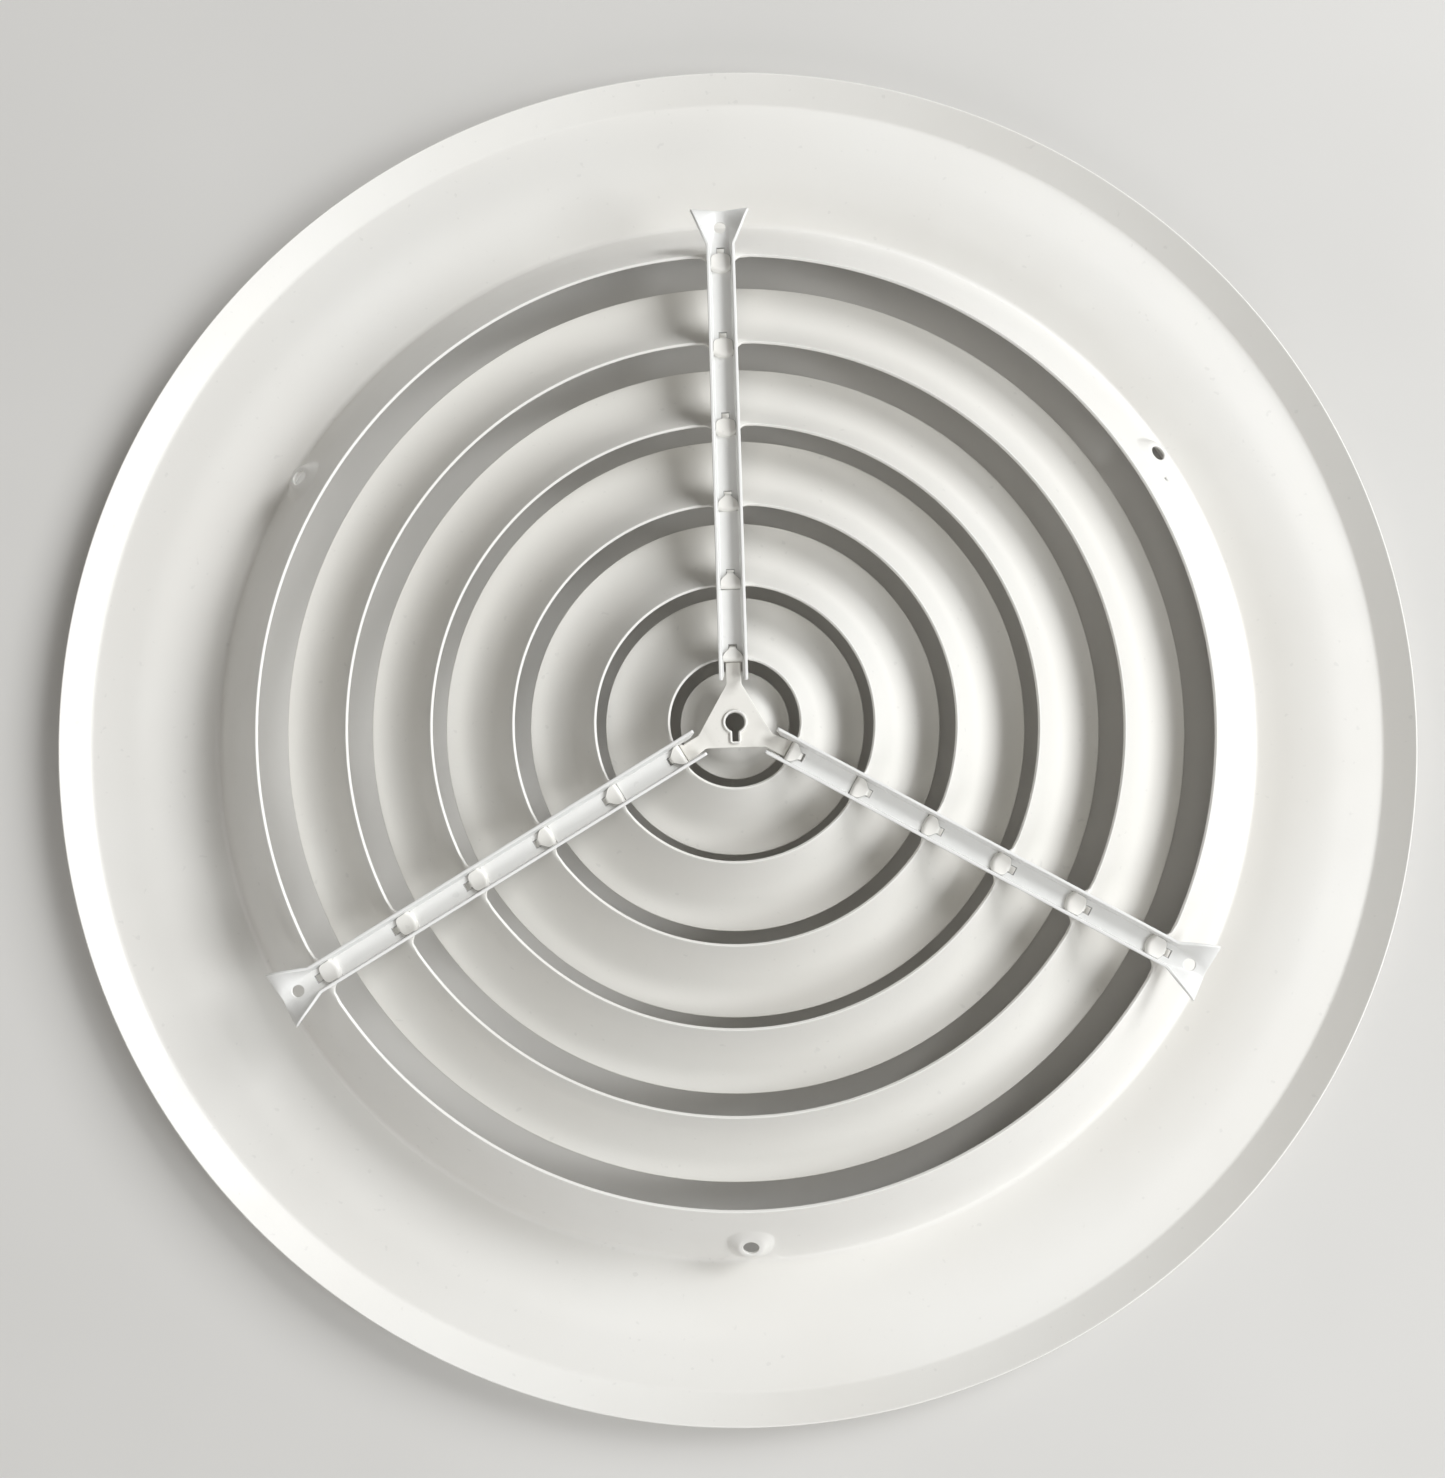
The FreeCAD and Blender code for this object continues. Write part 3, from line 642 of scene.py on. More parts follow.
PATCH_ABOVE = 11.0  # reach of the block of faces that a boss replaces
PATCH_BELOW = 18.6
PATCH_SIDE = 9.6


def boss_foot(heading):
    """How far the drawn-out foot reaches in a direction: rounder above, fuller below."""
    reach, power = BOSS_UPPER, BOSS_ABOVE_POWER
    if heading.x > 0:
        reach, power = BOSS_LOWER, BOSS_BELOW_POWER
    return (abs(heading.x / reach) ** power + abs(heading.y / BOSS_SIDE) ** power) ** (-1 / power)


def ramp(share, rounding=0.16):
    """A straight ramp from 0 to 1 with rounded ends."""
    share = min(1.0, max(0.0, share))
    if share > 0.5:
        return 1 - ramp(1 - share, rounding)
    if share < rounding:
        return share * share / (2 * rounding * (1 - rounding))
    return (share - rounding / 2) / (1 - rounding)


def boss_place(path, middle_stop, angle, heading, distance):
    """A point of a boss: a direction round its hole (down the neck, across) and a distance."""
    on_head = heading.x * min(distance, BOSS_HEAD)
    foot = boss_foot(heading)
    share = max(0.0, (distance - BOSS_HEAD) / (foot - BOSS_HEAD))
    down = on_head * cos(BOSS_TILT)
    down += (heading.x * foot - down) * share
    height = (BOSS_HEIGHT + on_head * sin(BOSS_TILT)) * ramp(1 - share)
    lean = radians(NECK_ANGLE)
    neck = along(path, middle_stop + down)
    raised = neck + Vector((sin(lean), cos(lean))) * height
    return revolved(raised, angle + degrees(heading.y * distance / neck.x))


def punch_boss(shell, rows, columns, stops, path, angle):
    """Swap the faces round one boss for loops of faces about its hole."""
    middle_stop = (BOSS_RADIUS - RINGS[0].rim.x) / cos(radians(NECK_ANGLE))

    def offsets(row, column):
        """How far a grid point is from the boss's hole, down the neck and across it."""
        turn = (columns[column][0] - angle + 180) % 360 - 180
        return stops[row] - middle_stop, radians(turn) * BOSS_RADIUS

    block_rows = [r for r in range(len(rows)) if -PATCH_ABOVE < offsets(r, 0)[0] < PATCH_BELOW]
    block_columns = [c for c in range(len(columns)) if abs(offsets(0, c)[1]) < PATCH_SIDE]
    block_columns.sort(key=lambda c: offsets(0, c)[1])
    replaced = {rows[r][c] for r in block_rows for c in block_columns}
    shell.faces = [face for face in shell.faces if not all(i in replaced for i in face)]

    border = block_border(block_rows, block_columns)
    headings = [Vector(offsets(r, c)).normalized() for r, c in border]
    steps = [(radius, 0.0) for radius in BOSS_LOOPS]
    steps += [(BOSS_HEAD, step / BOSS_STEPS) for step in range(BOSS_STEPS + 1)]
    loops = []
    for start, share in steps:
        loop = []
        for heading in headings:
            distance = start + (boss_foot(heading) - start) * share
            loop.append(shell.add(boss_place(path, middle_stop, angle, heading, distance)))
        loops.append(loop)
    loops.append([rows[r][c] for r, c in border])
    shell.bridge(loops[::-1])


def frame_shell():
    """The outer frame with its ears and its three screw bosses."""
    path = frame_path()
    shell, rows, columns, stops = ring_shell(0, path, 1.9 * SHEET)
    for angle in BOSS_ANGLES:
        punch_boss(shell, rows, columns, stops, path, angle)
    return shell


# ---- spoke arms

ARM_BEND = 0.72 * SHEET
FLOOR_HALF = 3.6 * SHEET - ARM_BEND  # half the flat part of the floor
WALL = 3.6 * SHEET
WALL_ANGLE = radians(83.0)
SPREAD_ANGLE = radians(4.0)  # the walls' angle at the end of the flare
SPREAD = 1.35 * SHEET  # how much wider each half of the blank is there
FLARE_BEND = 2.4 * SHEET  # how much softer the bends are there
TROUGH_SLOPE = 0.16  # how steeply the flare's two halves rise from its middle
INNER_END = 13.0 * SHEET
FLARE_START = 152.0
FLARE_END = high_low("spoke_arm_1", 1)[1] - HALF
HALF_DEVELOPED = FLOOR_HALF + ARM_BEND * pi / 2 + WALL
HOLE_PLACE = 159.0
HOLE_RADIUS = 1.9 * SHEET
HOLE_BLOCK = 3.2 * SHEET  # half the side of the square round the hole
HOLE_LOW = HOLE_PLACE - HOLE_BLOCK
HOLE_HIGH = HOLE_PLACE + HOLE_BLOCK
SLOT_TRIM = 0.8 * EDGE_ROUND  # leaves room for the rounded edge round every opening


def channel_point(flat, angle, bend=ARM_BEND):
    """Across and up, in an arm's section, for a distance from the middle of the flat sheet."""
    away = abs(flat)
    side = copysign(1.0, flat)
    floor = FLOOR_HALF - 0.8 * (bend - ARM_BEND)
    if away <= floor:
        return flat, 0.0
    bend_length = bend * angle
    if away <= floor + bend_length:
        turn = (away - floor) / bend
        return side * (floor + bend * sin(turn)), bend * (1 - cos(turn))
    rest = away - floor - bend_length
    across = floor + bend * sin(angle) + rest * cos(angle)
    return side * across, bend * (1 - cos(angle)) + rest * sin(angle)


def flare_share(place):
    """How far a place is along the flare, from 0 to 1."""
    return min(1.0, max(0.0, (place - FLARE_START) / (FLARE_END - FLARE_START)))


def flare_bend(place):
    """The bends grow softer along the flare."""
    return ARM_BEND + FLARE_BEND * smooth(1.4 * flare_share(place))


def wall_angle(place):
    """The walls open along the flare so that its edges run straight when seen from above."""
    share = flare_share(place)
    if share <= 0:
        return WALL_ANGLE
    closed = channel_point(HALF_DEVELOPED, WALL_ANGLE)[0]
    opened = channel_point(HALF_DEVELOPED + SPREAD, SPREAD_ANGLE, flare_bend(FLARE_END))[0]
    eased = share + 0.04 * sin(pi * share)
    wanted = closed + (opened - closed) * min(1.0, eased)

    def too_steep(angle):
        return channel_point(HALF_DEVELOPED + SPREAD * share, angle, flare_bend(place))[0] <= wanted

    return halved(SPREAD_ANGLE, radians(88.0), too_steep)


def arm_point(place, flat):
    """A point of the arm; past the flare's start the blank widens and the floor dips to a trough."""
    share = flare_share(place)
    beyond = max(0.0, (abs(flat) - 1.0) / (HALF_DEVELOPED - 1.0))
    wide = copysign(abs(flat) + SPREAD * share * beyond, flat)
    across, up = channel_point(wide, wall_angle(place), flare_bend(place))
    trough = TROUGH_SLOPE * smooth(share) * (sqrt(across ** 2 + 1.0) - 1.0)
    return Vector((across, place, FLOOR_MIDDLE + up + trough))


def merged(values, gap):
    """Sorted values with near neighbours dropped; earlier entries in the list are kept first."""
    kept = []
    for value in values:
        if all(abs(value - other) > gap for other in kept):
            kept.append(value)
    return sorted(kept)


def arm_flats(slot_half, nub_half):
    """Distances across the flat sheet from its middle, in small steps round the bends."""
    bend_step, wall_step, least_gap = 0.19, 0.9, 0.11
    bend_end = FLOOR_HALF + ARM_BEND * pi / 2
    top = HALF_DEVELOPED + END_REACH
    flats = [0.0, slot_half, nub_half, top, top - 0.3, FLOOR_HALF, FLOOR_HALF - 0.15,
             HOLE_BLOCK, 0.7, 1.8]
    flats += spaced(FLOOR_HALF, bend_end, bend_step)
    flats += spaced(bend_end, top, wall_step)
    flats = merged(flats, least_gap)
    return [-flat for flat in reversed(flats) if flat > 0] + flats


def arm_windows(slot_half, nub_half):
    """Openings in the floor as (start, end, half width): a slot for each ear and each nub."""
    windows = []
    for sizes in RINGS:
        low, high = sizes.root - SLOT_PLAY, sizes.root + SHEET + SLOT_PLAY
        windows.append((low - SLOT_TRIM, high + SLOT_TRIM, slot_half))
        low, high = sizes.tip - 1.7 * NUB_LENGTH, sizes.tip + 0.3 * SHEET
        windows.append((low - SLOT_TRIM, high + SLOT_TRIM, nub_half))
    return windows


def arm_places(windows):
    """Distances along the arm, with a row at both ends of every opening."""
    hole_step, flare_step, plain_step, least_gap = 0.8, 0.7, 2.4, 0.3
    end_step, end_reach = 0.6, 2.4
    places = [end for low, high, _ in windows for end in (low, high)]
    places += [HOLE_LOW, HOLE_HIGH, FLARE_START, FLARE_END + END_REACH, FLARE_END + END_REACH - 0.3]
    places += spaced(HOLE_LOW, HOLE_HIGH, hole_step)
    places += spaced(FLARE_START, FLARE_END, flare_step)
    places += spaced(INNER_END + end_reach + 0.1, FLARE_START, plain_step)
    places = [place for place in merged(places, least_gap) if place > INNER_END + end_reach]
    return spaced(INNER_END, INNER_END + end_reach, end_step) + places


def slanted_end(place, point):
    """Moves a point near the arm's inner end so that the walls' ends slant."""
    slant = tan(radians(28.0))
    reach = 4.0 * SHEET
    if place < INNER_END + reach:
        start = max(INNER_END, INNER_END + 1.3 * SHEET - (point.z - FLOOR_TOP) * slant)
        point.y = start + (INNER_END + reach - start) * (place - INNER_END) / reach
    return point


def round_hole(shell, grid, places, flats):
    """Loops of faces round the arm's hole, in the square block that the grid leaves open."""
    rows = [r for r, place in enumerate(places) if HOLE_LOW - TINY <= place <= HOLE_HIGH + TINY]
    columns = [c for c, flat in enumerate(flats) if abs(flat) <= HOLE_BLOCK + TINY]
    border = block_border(rows, columns)
    loops = []
    for radius in (HOLE_RADIUS + SLOT_TRIM, HOLE_RADIUS + 2 * SLOT_TRIM, HOLE_RADIUS + 0.8):
        loop = []
        for r, c in border:
            away = hypot(places[r] - HOLE_PLACE, flats[c])
            place = HOLE_PLACE + (places[r] - HOLE_PLACE) / away * radius
            loop.append(shell.add(arm_point(place, flats[c] / away * radius)))
        loops.append(loop)
    loops.append([grid[r][c] for r, c in border])
    shell.bridge(loops[::-1])


def arm_shell():
    """One U-shaped arm with its slots, its hole, its slanted inner end and its flare."""
    overhang = EAR_HALF + SLOT_PLAY - FLOOR_HALF
    slot_half = FLOOR_HALF + ARM_BEND * asin(overhang / ARM_BEND) + SLOT_TRIM
    nub_half = NUB_HALF + 1.5 * SLOT_PLAY + SLOT_TRIM
    flats = arm_flats(slot_half, nub_half)
    windows = arm_windows(slot_half, nub_half)
    places = arm_places(windows)
    last_slot = windows[-2][0]
    windows.append((0.0, last_slot + TINY, slot_half))  # the floor ends there

    shell = Shell()
    grid = []
    for place in places:
        grid.append([shell.add(slanted_end(place, arm_point(place, flat))) for flat in flats])
    # Cut edges round every opening and at the floor's end get painted shade, standing in for the
    # shadow in the slots.
    for low, high, half in windows:
        for r, place in enumerate(places):
            for c, flat in enumerate(flats):
                if low - TINY <= place <= high + TINY and abs(flat) <= half + TINY:
                    shell.painted_edge_shade[grid[r][c]] = 1.0

    def cut_out(place, flat):
        """Whether a spot lies in an opening or in the block of the round hole."""
        if HOLE_LOW < place < HOLE_HIGH and abs(flat) < HOLE_BLOCK:
            return True
        return any(low < place < high and abs(flat) < half for low, high, half in windows)

    for r in range(len(places) - 1):
        for c in range(len(flats) - 1):
            if not cut_out((places[r] + places[r + 1]) / 2, (flats[c] + flats[c + 1]) / 2):
                shell.faces.append((grid[r][c], grid[r][c + 1], grid[r + 1][c + 1], grid[r + 1][c]))
    round_hole(shell, grid, places, flats)
    return compact(shell)


# ---- hub plate

def inside(point, loop):
    """Whether a flat point lies inside a closed loop of points."""
    hit = False
    for a, b in zip(loop, loop[1:] + loop[:1]):
        if (a.y > point.y) != (b.y > point.y):
            if point.x < (b.x - a.x) * (point.y - a.y) / (b.y - a.y) + a.x:
                hit = not hit
    return hit


def rounded_loop(corners):
    """A closed outline from corners, each a point with the radius that rounds it."""
    loop = []
    count = len(corners)
    for k, (corner, radius) in enumerate(corners):
        before = (corners[k - 1][0] - corner).normalized()
        after = (corners[(k + 1) % count][0] - corner).normalized()
        turn = pi - before.angle(after)
        start = corner + before * (radius * tan(turn / 2))
        centre = corner + (before + after).normalized() * (radius / cos(turn / 2))
        first = start - centre
        steps = max(2, ceil(turn / 0.25))
        sign = 1 if first.x * after.y - first.y * after.x > 0 else -1
        for step in range(steps + 1):
            loop.append(centre + turned_flat(first, sign * degrees(turn) * step / steps))
    return loop


def subdivided(loop, step):
    """The same loop with long sides divided."""
    result = []
    for a, b in zip(loop, loop[1:] + loop[:1]):
        result += [a.lerp(b, share) for share in spaced(0.0, 1.0, step / max(step, (b - a).length))]
    return result


def flat_plate(outline, holes, spacing, height):
    """A shell over a flat outline with holes, filled with evenly spaced points."""
    loops = [subdivided(outline, spacing)] + [subdivided(hole, spacing) for hole in holes]
    points = []
    edges = []
    for loop in loops:
        first = len(points)
        points += loop
        edges += [(first + k, first + (k + 1) % len(loop)) for k in range(len(loop))]
    steps = int(max(max(abs(p.x), abs(p.y)) for p in outline) / spacing) + 1
    row_spacing = 0.87 * spacing
    clearance = 0.6 * spacing

    def on_plate(spot):
        return inside(spot, loops[0]) and not any(inside(spot, hole) for hole in loops[1:])

    for i in range(-steps, steps + 1):
        for j in range(-steps, steps + 1):
            spot = Vector(((i + 0.5 * (j % 2)) * spacing, j * row_spacing))
            clear = all(min((spot - p).length for p in loop) > clearance for loop in loops)
            if clear and on_plate(spot):
                points.append(spot)
    flat, _, faces, _, _, _ = delaunay_2d_cdt(points, edges, [], 0, 1e-5)
    shell = Shell()
    for spot in flat:
        shell.add((spot.x, spot.y, height(spot)))
    for face in faces:
        middle = sum((flat[i] for i in face), Vector((0, 0))) / len(face)
        if on_plate(middle):
            a, b, c = (flat[i] for i in face[:3])
            turn = (b.x - a.x) * (c.y - a.y) - (b.y - a.y) * (c.x - a.x)
            shell.faces.append(tuple(face) if turn > 0 else tuple(reversed(face)))
    return compact(shell)


HUB_HALF = 8.05 * SHEET  # from the middle to a side of the triangle
LEG_HALF = 2.4 * SHEET
LEG_END = high_low("hub_plate", 1)[1]
LEG_ROOT_ROUND = 2.2
HEAD_HALF = 4.3 * SHEET  # half the width of a leg's hidden head
HEAD_START_ROUND = 0.4
HEAD_END_ROUND = 0.5
KEYHOLE_RADIUS = 3.0 * SHEET
KEYHOLE_SLOT_HALF = 0.95 * SHEET
KEYHOLE_SLOT_END = 6.1 * SHEET
KEYHOLE_CORNER = 0.35 * SHEET
COLLAR_WALL = 0.6 * SHEET
HUB_DIP = 0.3 * SHEET  # how deep each leg dips at its root
DIP_START, DIP_FALL = 8.0, 2.5  # where along a leg its fall starts, and how long that is
DIP_END, DIP_RISE = 12.5, 3.5  # where its rise starts, and how long that is


def keyhole_loop(margin):
    """The keyhole's outline grown by a margin, counter-clockwise from the slot's middle."""
    arc_steps, side_steps, corner_steps = 20, 6, 5
    half = KEYHOLE_SLOT_HALF + margin
    bottom = -(KEYHOLE_SLOT_END + margin)
    corner = KEYHOLE_CORNER + margin
    circle = KEYHOLE_RADIUS + margin
    join = asin(half / circle)
    right = [Vector((0.0, bottom)), Vector(((half - corner) / 2, bottom))]
    for turn in quarter_turn(corner_steps):
        right.append(Vector((half - corner + corner * sin(turn),
                             bottom + corner - corner * cos(turn))))
    side_low = bottom + corner
    side_high = -circle * cos(join)
    for step in range(1, side_steps + 1):
        right.append(Vector((half, side_low + (side_high - side_low) * step / side_steps)))
    for step in range(1, arc_steps):
        turn = join + (pi - join) * step / arc_steps
        right.append(Vector((circle * sin(turn), -circle * cos(turn))))
    left = [Vector((-p.x, p.y)) for p in reversed(right[1:])]
    return right + [Vector((0.0, circle))] + left


def hub_shell():
    """A triangle with three legs whose wider heads lie under the arms, each slotted for an ear."""
    trim = EDGE_ROUND
    leg, head = LEG_HALF - trim, HEAD_HALF - trim
    junction = 2 * HUB_HALF - LEG_HALF * sqrt(3)
    head_start = RINGS[5].root - 2 * SLOT_PLAY + trim
    half_leg = [
        (leg, junction, LEG_ROOT_ROUND),
        (leg, head_start, HEAD_START_ROUND),
        (head, head_start, HEAD_START_ROUND),
        (head, LEG_END - trim, HEAD_END_ROUND),
    ]
    one_leg = half_leg + [(-across, place, radius) for across, place, radius in reversed(half_leg)]
    corners = [(turned_flat(Vector((across, place)), angle - 90), radius)
               for angle in ARM_ANGLES for across, place, radius in one_leg]
    slot_low = RINGS[5].root - SLOT_PLAY - trim
    slot_high = RINGS[5].root + SHEET + SLOT_PLAY + trim
    slot_half = EAR_HALF + SLOT_PLAY + trim
    slots = []
    for angle in ARM_ANGLES:
        slot = [Vector((slot_half, slot_low)), Vector((slot_half, slot_high)),
                Vector((-slot_half, slot_high)), Vector((-slot_half, slot_low))]
        slots.append([turned_flat(corner, angle - 90) for corner in slot])
    window = keyhole_loop(COLLAR_WALL + 0.1 * SHEET + trim)

    def height(spot):
        """Height of the plate's middle, with a dip at the root of each leg."""
        along_leg = max(turned_flat(spot, 90 - angle).y for angle in ARM_ANGLES)
        fallen = smooth((along_leg - DIP_START) / DIP_FALL)
        risen = smooth((along_leg - DIP_END) / DIP_RISE)
        return HUB_TOP - HALF - HUB_DIP * fallen * (1 - risen)

    return flat_plate(rounded_loop(corners), slots + [window], 0.9 * SHEET, height)


# ---- centre cone

CONE_RING = 9.4 * SHEET  # inside this radius the rows blend into the keyhole's outline
CONE_BLEND_STEPS = 7
COLLAR_FOOT = 1.0 * SHEET  # from the keyhole to where the collar's foot begins
COLLAR_BEND = 0.7 * SHEET
COLLAR_STEPS = 4
ROLL_BEND = 0.35 * SHEET
ROLL_REACH = 0.48 * SHEET  # from the keyhole to the end of the roll
ROLL_HEIGHT = HUB_TOP + 0.05 * SHEET + COLLAR_WALL / 2


def cone_path():
    """The cone's middle line: a flat top, a shoulder, a steep side and a nearly flat edge."""
    points = cad_points("centre_cone")
    tops = [p.z for p in points if flat_radius(p) > 4.3 * SHEET and p.z < HUB_TOP - 2 * SHEET]
    top = max(tops) - HALF
    start = Vector((0.5 * SHEET, top))
    shoulder = Vector((7.0 * SHEET, top))
    edge = outer_edge(points)
    foot = meet(shoulder, -52, edge, -6)
    return bent_path([start, shoulder, foot, edge], [2.0 * SHEET, 7.0 * SHEET])


def cone_shell():
    """The small cone, its top drawn up as a keyhole collar and rolled over the hub plate."""
    path = cone_path()
    shell = Shell()
    wall_half = COLLAR_WALL / 2
    reference = keyhole_loop(COLLAR_FOOT)
    angles = [degrees(atan2(p.y, p.x)) for p in reference]

    def skin_height(radius):
        """Height of the plain cone's middle line at a radius."""
        return along(path, halved(0.0, path_length(path), lambda s: along(path, s).x >= radius)).y

    def collar_row(margin, height):
        """A level row of the collar, a margin outside the keyhole."""
        return [shell.add((spot.x, spot.y, height), wall_half) for spot in keyhole_loop(margin)]

    rows = []
    stops = [stop for stop in path_stops(path, 1.2 * SHEET) if along(path, stop).x > CONE_RING + 0.5]
    stops[-1] += END_REACH
    for stop in reversed(stops):
        rows.append([shell.add(revolved(along(path, stop), angle)) for angle in angles])
    for step in range(CONE_BLEND_STEPS):
        row = []
        for angle, inner in zip(angles, reference):
            spot = (unit(angle) * CONE_RING).lerp(inner, step / CONE_BLEND_STEPS)
            row.append(shell.add((spot.x, spot.y, skin_height(spot.length))))
        rows.append(row)
    for turn in quarter_turn(COLLAR_STEPS):
        half = HALF + (wall_half - HALF) * turn / (pi / 2)
        loop = keyhole_loop(wall_half + COLLAR_BEND * (1 - sin(turn)))
        row = []
        for spot, base in zip(loop, reference):
            height = skin_height(base.length) + COLLAR_BEND * (1 - cos(turn))
            row.append(shell.add((spot.x, spot.y, height), half))
        rows.append(row)
    roll_start = ROLL_HEIGHT - ROLL_BEND
    rows.append(collar_row(wall_half, roll_start - 0.5 * SHEET))
    for turn in quarter_turn(COLLAR_STEPS):
        rows.append(collar_row(wall_half + ROLL_BEND * (1 - cos(turn)),
                               roll_start + ROLL_BEND * sin(turn)))
    rows.append(collar_row(ROLL_REACH, ROLL_HEIGHT))
    shell.bridge(rows)
    return shell


# ---- powder coat

def node(tree, kind, inputs=None, **settings):
    """A new shader node; each of its inputs takes a plain value or another node's output."""
    made = tree.nodes.new(kind)
    for key, value in settings.items():
        setattr(made, key, value)
    for key, value in (inputs or {}).items():
        if isinstance(value, bpy.types.NodeSocket):
            tree.links.new(value, made.inputs[key])
        else:
            made.inputs[key].default_value = value
    return made


def noise(tree, place, scale, detail, roughness=0.5):
    """Noise that is finer the larger its scale is."""
    inputs = {"Vector": place, "Scale": scale, "Detail": detail, "Roughness": roughness}
    return node(tree, "ShaderNodeTexNoise", inputs).outputs["Fac"]


def spread(tree, value, low, high, new_low, new_high):
    """A value's range from low to high, brought to a new range."""
    inputs = {"Value": value, "From Min": low, "From Max": high, "To Min": new_low, "To Max": new_high}
    return node(tree, "ShaderNodeMapRange", inputs).outputs["Result"]


def mix_colour(tree, share, first, second):
    """A mix of two colours."""
    inputs = {"Factor": share, 6: first, 7: second}
    return node(tree, "ShaderNodeMix", inputs, data_type="RGBA").outputs[2]


def shaded(colour, factor):
    """A plain colour made darker or lighter."""
    return (*(min(1.0, factor * channel) for channel in colour[:3]), 1.0)


def bump(tree, height, strength, distance):
    """A bumpy skin."""
    inputs = {"Height": height, "Strength": strength, "Distance": distance * MM}
    return node(tree, "ShaderNodeBump", inputs)


def powder_coat(name, colour, shade, gloss):
    """Semi-gloss powder coat: orange-peel skin, faint clouding, specks of dust, worn edges and painted
    shade on marked cut edges.
    """
    colour, shade = (*colour, 1.0), (*shade, 1.0)
    material = bpy.data.materials.new(name)
    material.use_nodes = True
    tree = material.node_tree
    tree.nodes.clear()
    place = node(tree, "ShaderNodeTexCoord").outputs["Object"]
    clouds = noise(tree, place, 9.0, 3.0)
    blotches = noise(tree, place, 60.0, 4.0)
    specks = noise(tree, place, 420.0, 1.0, 0.3)
    peel = noise(tree, place, 900.0, 2.0)
    grit = noise(tree, place, 3200.0, 2.0)
    edge = node(tree, "ShaderNodeAttribute", attribute_name="cut_edge").outputs["Fac"]
    edge_shade_mask = node(tree, "ShaderNodeAttribute", attribute_name="painted_edge_shade").outputs["Fac"]

    body = mix_colour(tree, spread(tree, clouds, 0.35, 0.65, 0.0, 1.0), colour, shade)
    body = mix_colour(tree, spread(tree, blotches, 0.45, 0.75, 0.0, 0.35), body, shade)
    body = mix_colour(tree, spread(tree, specks, 0.74, 0.80, 0.0, 0.25), body, shaded(colour, 0.72))
    patchy = spread(tree, blotches, 0.3, 0.7, 0.3, 0.75)
    wear = node(tree, "ShaderNodeMath", {0: edge, 1: patchy}, operation="MULTIPLY").outputs[0]
    body = mix_colour(tree, wear, body, shaded(colour, 1.06))
    # Painted shade: marked cut edges darken strongly, standing in for the shadow in the narrow gaps
    # under the ears' edges and round the slots.
    shade_share = spread(tree, edge_shade_mask, 0.0, 1.0, 0.0, 0.6)
    body = mix_colour(tree, shade_share, body, shaded(colour, 0.25))

    fine = bump(tree, grit, 0.08, 0.04)
    tree.links.new(bump(tree, peel, 0.10, 0.15).outputs["Normal"], fine.inputs["Normal"])
    skin = node(tree, "ShaderNodeBsdfPrincipled", {
        "Base Color": body,
        "Roughness": spread(tree, blotches, 0.3, 0.7, gloss - 0.05, gloss + 0.07),
        "Specular IOR Level": 0.5,
        "IOR": 1.5,
        "Normal": fine.outputs["Normal"],
    })
    node(tree, "ShaderNodeOutputMaterial", {"Surface": skin.outputs[0]})
    return material


# ---- stage

FLOOR_GAP = 0.2 * MM
FLOOR_COLOUR = (0.70, 0.69, 0.67, 1.0)
FLOOR_SHADE = (0.66, 0.65, 0.63, 1.0)
LIGHT_DISTANCE = 3.0
CAMERA_LENS = 35.1353
CAMERA_PLACE = (0.2, -37.6, 486.7)
CAMERA_TILT = (4.09, 0.519, 0.0)  # degrees about X, Y and Z
CAMERA_TURN = -1.73  # degrees that camera and place are turned about the Z axis


def studio_floor():
    """A wide pale floor just under the diffuser, slightly mottled."""
    reach = 4.0
    mesh = bpy.data.meshes.new("floor")
    mesh.from_pydata([(-reach, -reach, 0), (reach, -reach, 0), (reach, reach, 0), (-reach, reach, 0)],
                     [], [(0, 1, 2, 3)])
    floor = new_object("floor", mesh)
    floor.location = (0, 0, cad_box[0][2] - FLOOR_GAP)
    material = bpy.data.materials.new("floor_paint")
    material.use_nodes = True
    tree = material.node_tree
    skin = tree.nodes["Principled BSDF"]
    place = node(tree, "ShaderNodeTexCoord").outputs["Object"]
    mottle = spread(tree, noise(tree, place, 5.0, 3.0), 0.3, 0.7, 0.0, 1.0)
    tree.links.new(mix_colour(tree, mottle, FLOOR_COLOUR, FLOOR_SHADE), skin.inputs["Base Color"])
    skin.inputs["Roughness"].default_value = 0.8
    mesh.materials.append(material)


def soft_light(name, azimuth, elevation, size, power, colour):
    """A square light aimed at the diffuser's middle."""
    data = bpy.data.lights.new(name, "AREA")
    data.shape = "SQUARE"
    data.size = size
    data.energy = power
    data.color = colour
    lamp = new_object(name, data)
    towards = revolved(unit(elevation), azimuth)
    lamp.location = towards * LIGHT_DISTANCE
    lamp.rotation_euler = towards.to_track_quat("Z", "Y").to_euler()


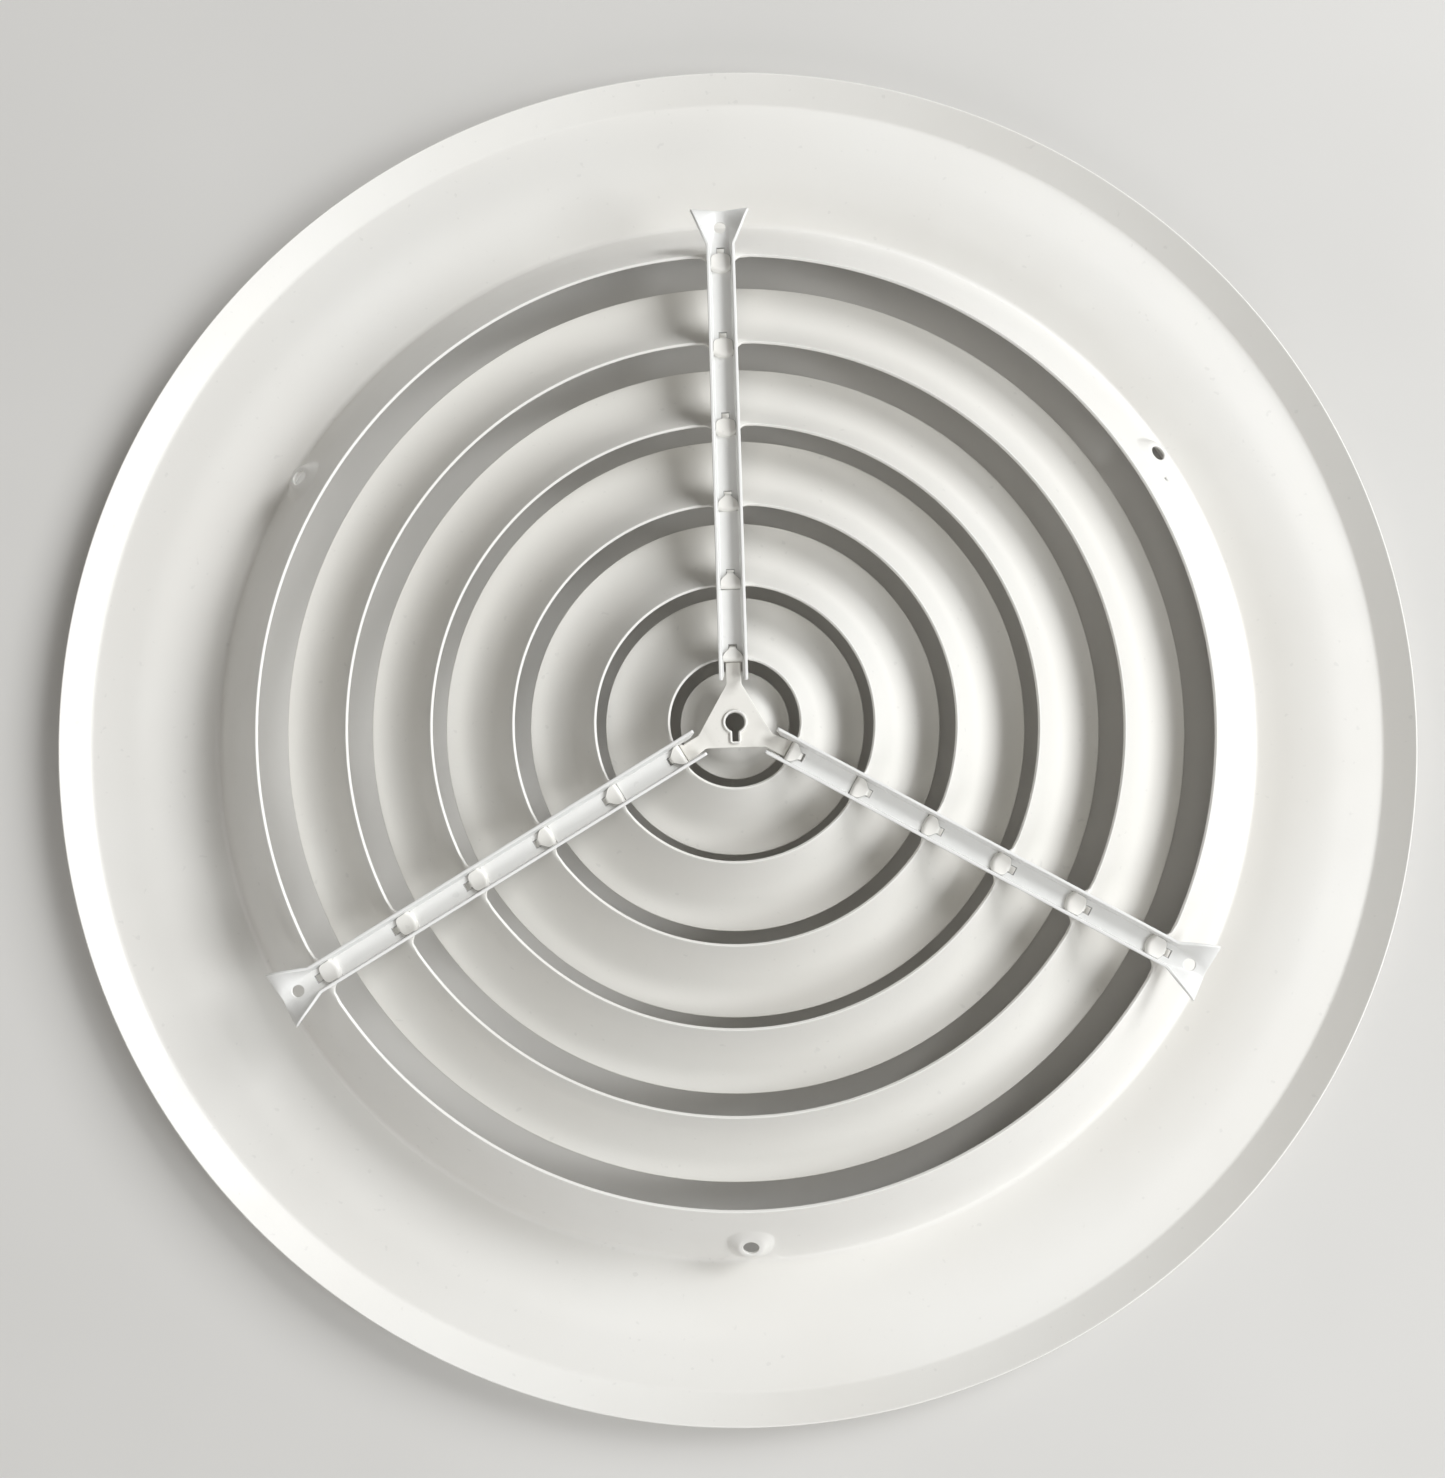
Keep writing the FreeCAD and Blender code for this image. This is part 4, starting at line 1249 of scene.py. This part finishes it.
def make_camera():
    """Close above the diffuser, a little towards -Y, as the photograph was taken."""
    data = bpy.data.cameras.new("camera")
    data.sensor_width = 36.0
    data.lens = CAMERA_LENS
    data.clip_start = 0.01
    turned = Matrix.Rotation(radians(CAMERA_TURN), 4, "Z")
    place = Matrix.Translation(Vector(CAMERA_PLACE) * MM)
    tilt = Euler([radians(angle) for angle in CAMERA_TILT]).to_matrix().to_4x4()
    camera = new_object("camera", data)
    camera.matrix_world = turned @ place @ tilt
    bpy.context.scene.camera = camera


# ---- the whole diffuser

def build():
    """All eleven pieces, each with its coat."""
    frame_coat = powder_coat("frame_coat", (0.84, 0.83, 0.80), (0.815, 0.80, 0.765), 0.36)
    ring_coat = powder_coat("ring_coat", (0.83, 0.82, 0.785), (0.805, 0.79, 0.75), 0.34)
    arm_coat = powder_coat("arm_coat", (0.83, 0.83, 0.815), (0.80, 0.80, 0.785), 0.38)
    hub_coat = powder_coat("hub_coat", (0.85, 0.835, 0.79), (0.82, 0.80, 0.75), 0.36)
    make_piece("frame_sheet", frame_shell(), "outer_frame", frame_coat)
    for number in range(1, 6):
        shell = ring_shell(number, ring_path(number), 1.6 * SHEET)[0]
        make_piece("ring_sheet_%d" % number, shell, "louvre_ring_%d" % number, ring_coat)
    make_piece("cone_sheet", cone_shell(), "centre_cone", ring_coat)
    make_piece("hub_sheet", hub_shell(), "hub_plate", hub_coat)
    arm = arm_shell()
    for number, angle in enumerate(ARM_ANGLES, start=1):
        make_piece("arm_sheet_%d" % number, arm, "spoke_arm_%d" % number, arm_coat,
                   angle - 90)


def light_scene():
    """Two windows to the right of the camera's view, weak fill from the other sides."""
    world = bpy.data.worlds.new("studio")
    world.use_nodes = True
    background = world.node_tree.nodes["Background"]
    background.inputs["Color"].default_value = (1.0, 0.97, 0.92, 1.0)
    background.inputs["Strength"].default_value = 0.05
    bpy.context.scene.world = world
    soft_light("window_high", 30, 36, 1.4, 70.0, (0.98, 0.99, 1.0))
    soft_light("window_near", -22, 42, 1.2, 36.0, (0.97, 0.99, 1.0))
    soft_light("fill_front", -80, 28, 1.4, 21.0, (0.99, 0.99, 1.0))
    soft_light("fill_left", 190, 26, 1.8, 9.0, (1.0, 0.98, 0.94))
    soft_light("overhead", 200, 75, 1.4, 12.0, (1.0, 0.97, 0.91))
    bpy.context.scene.view_settings.view_transform = "Standard"


build()
studio_floor()
light_scene()
make_camera()
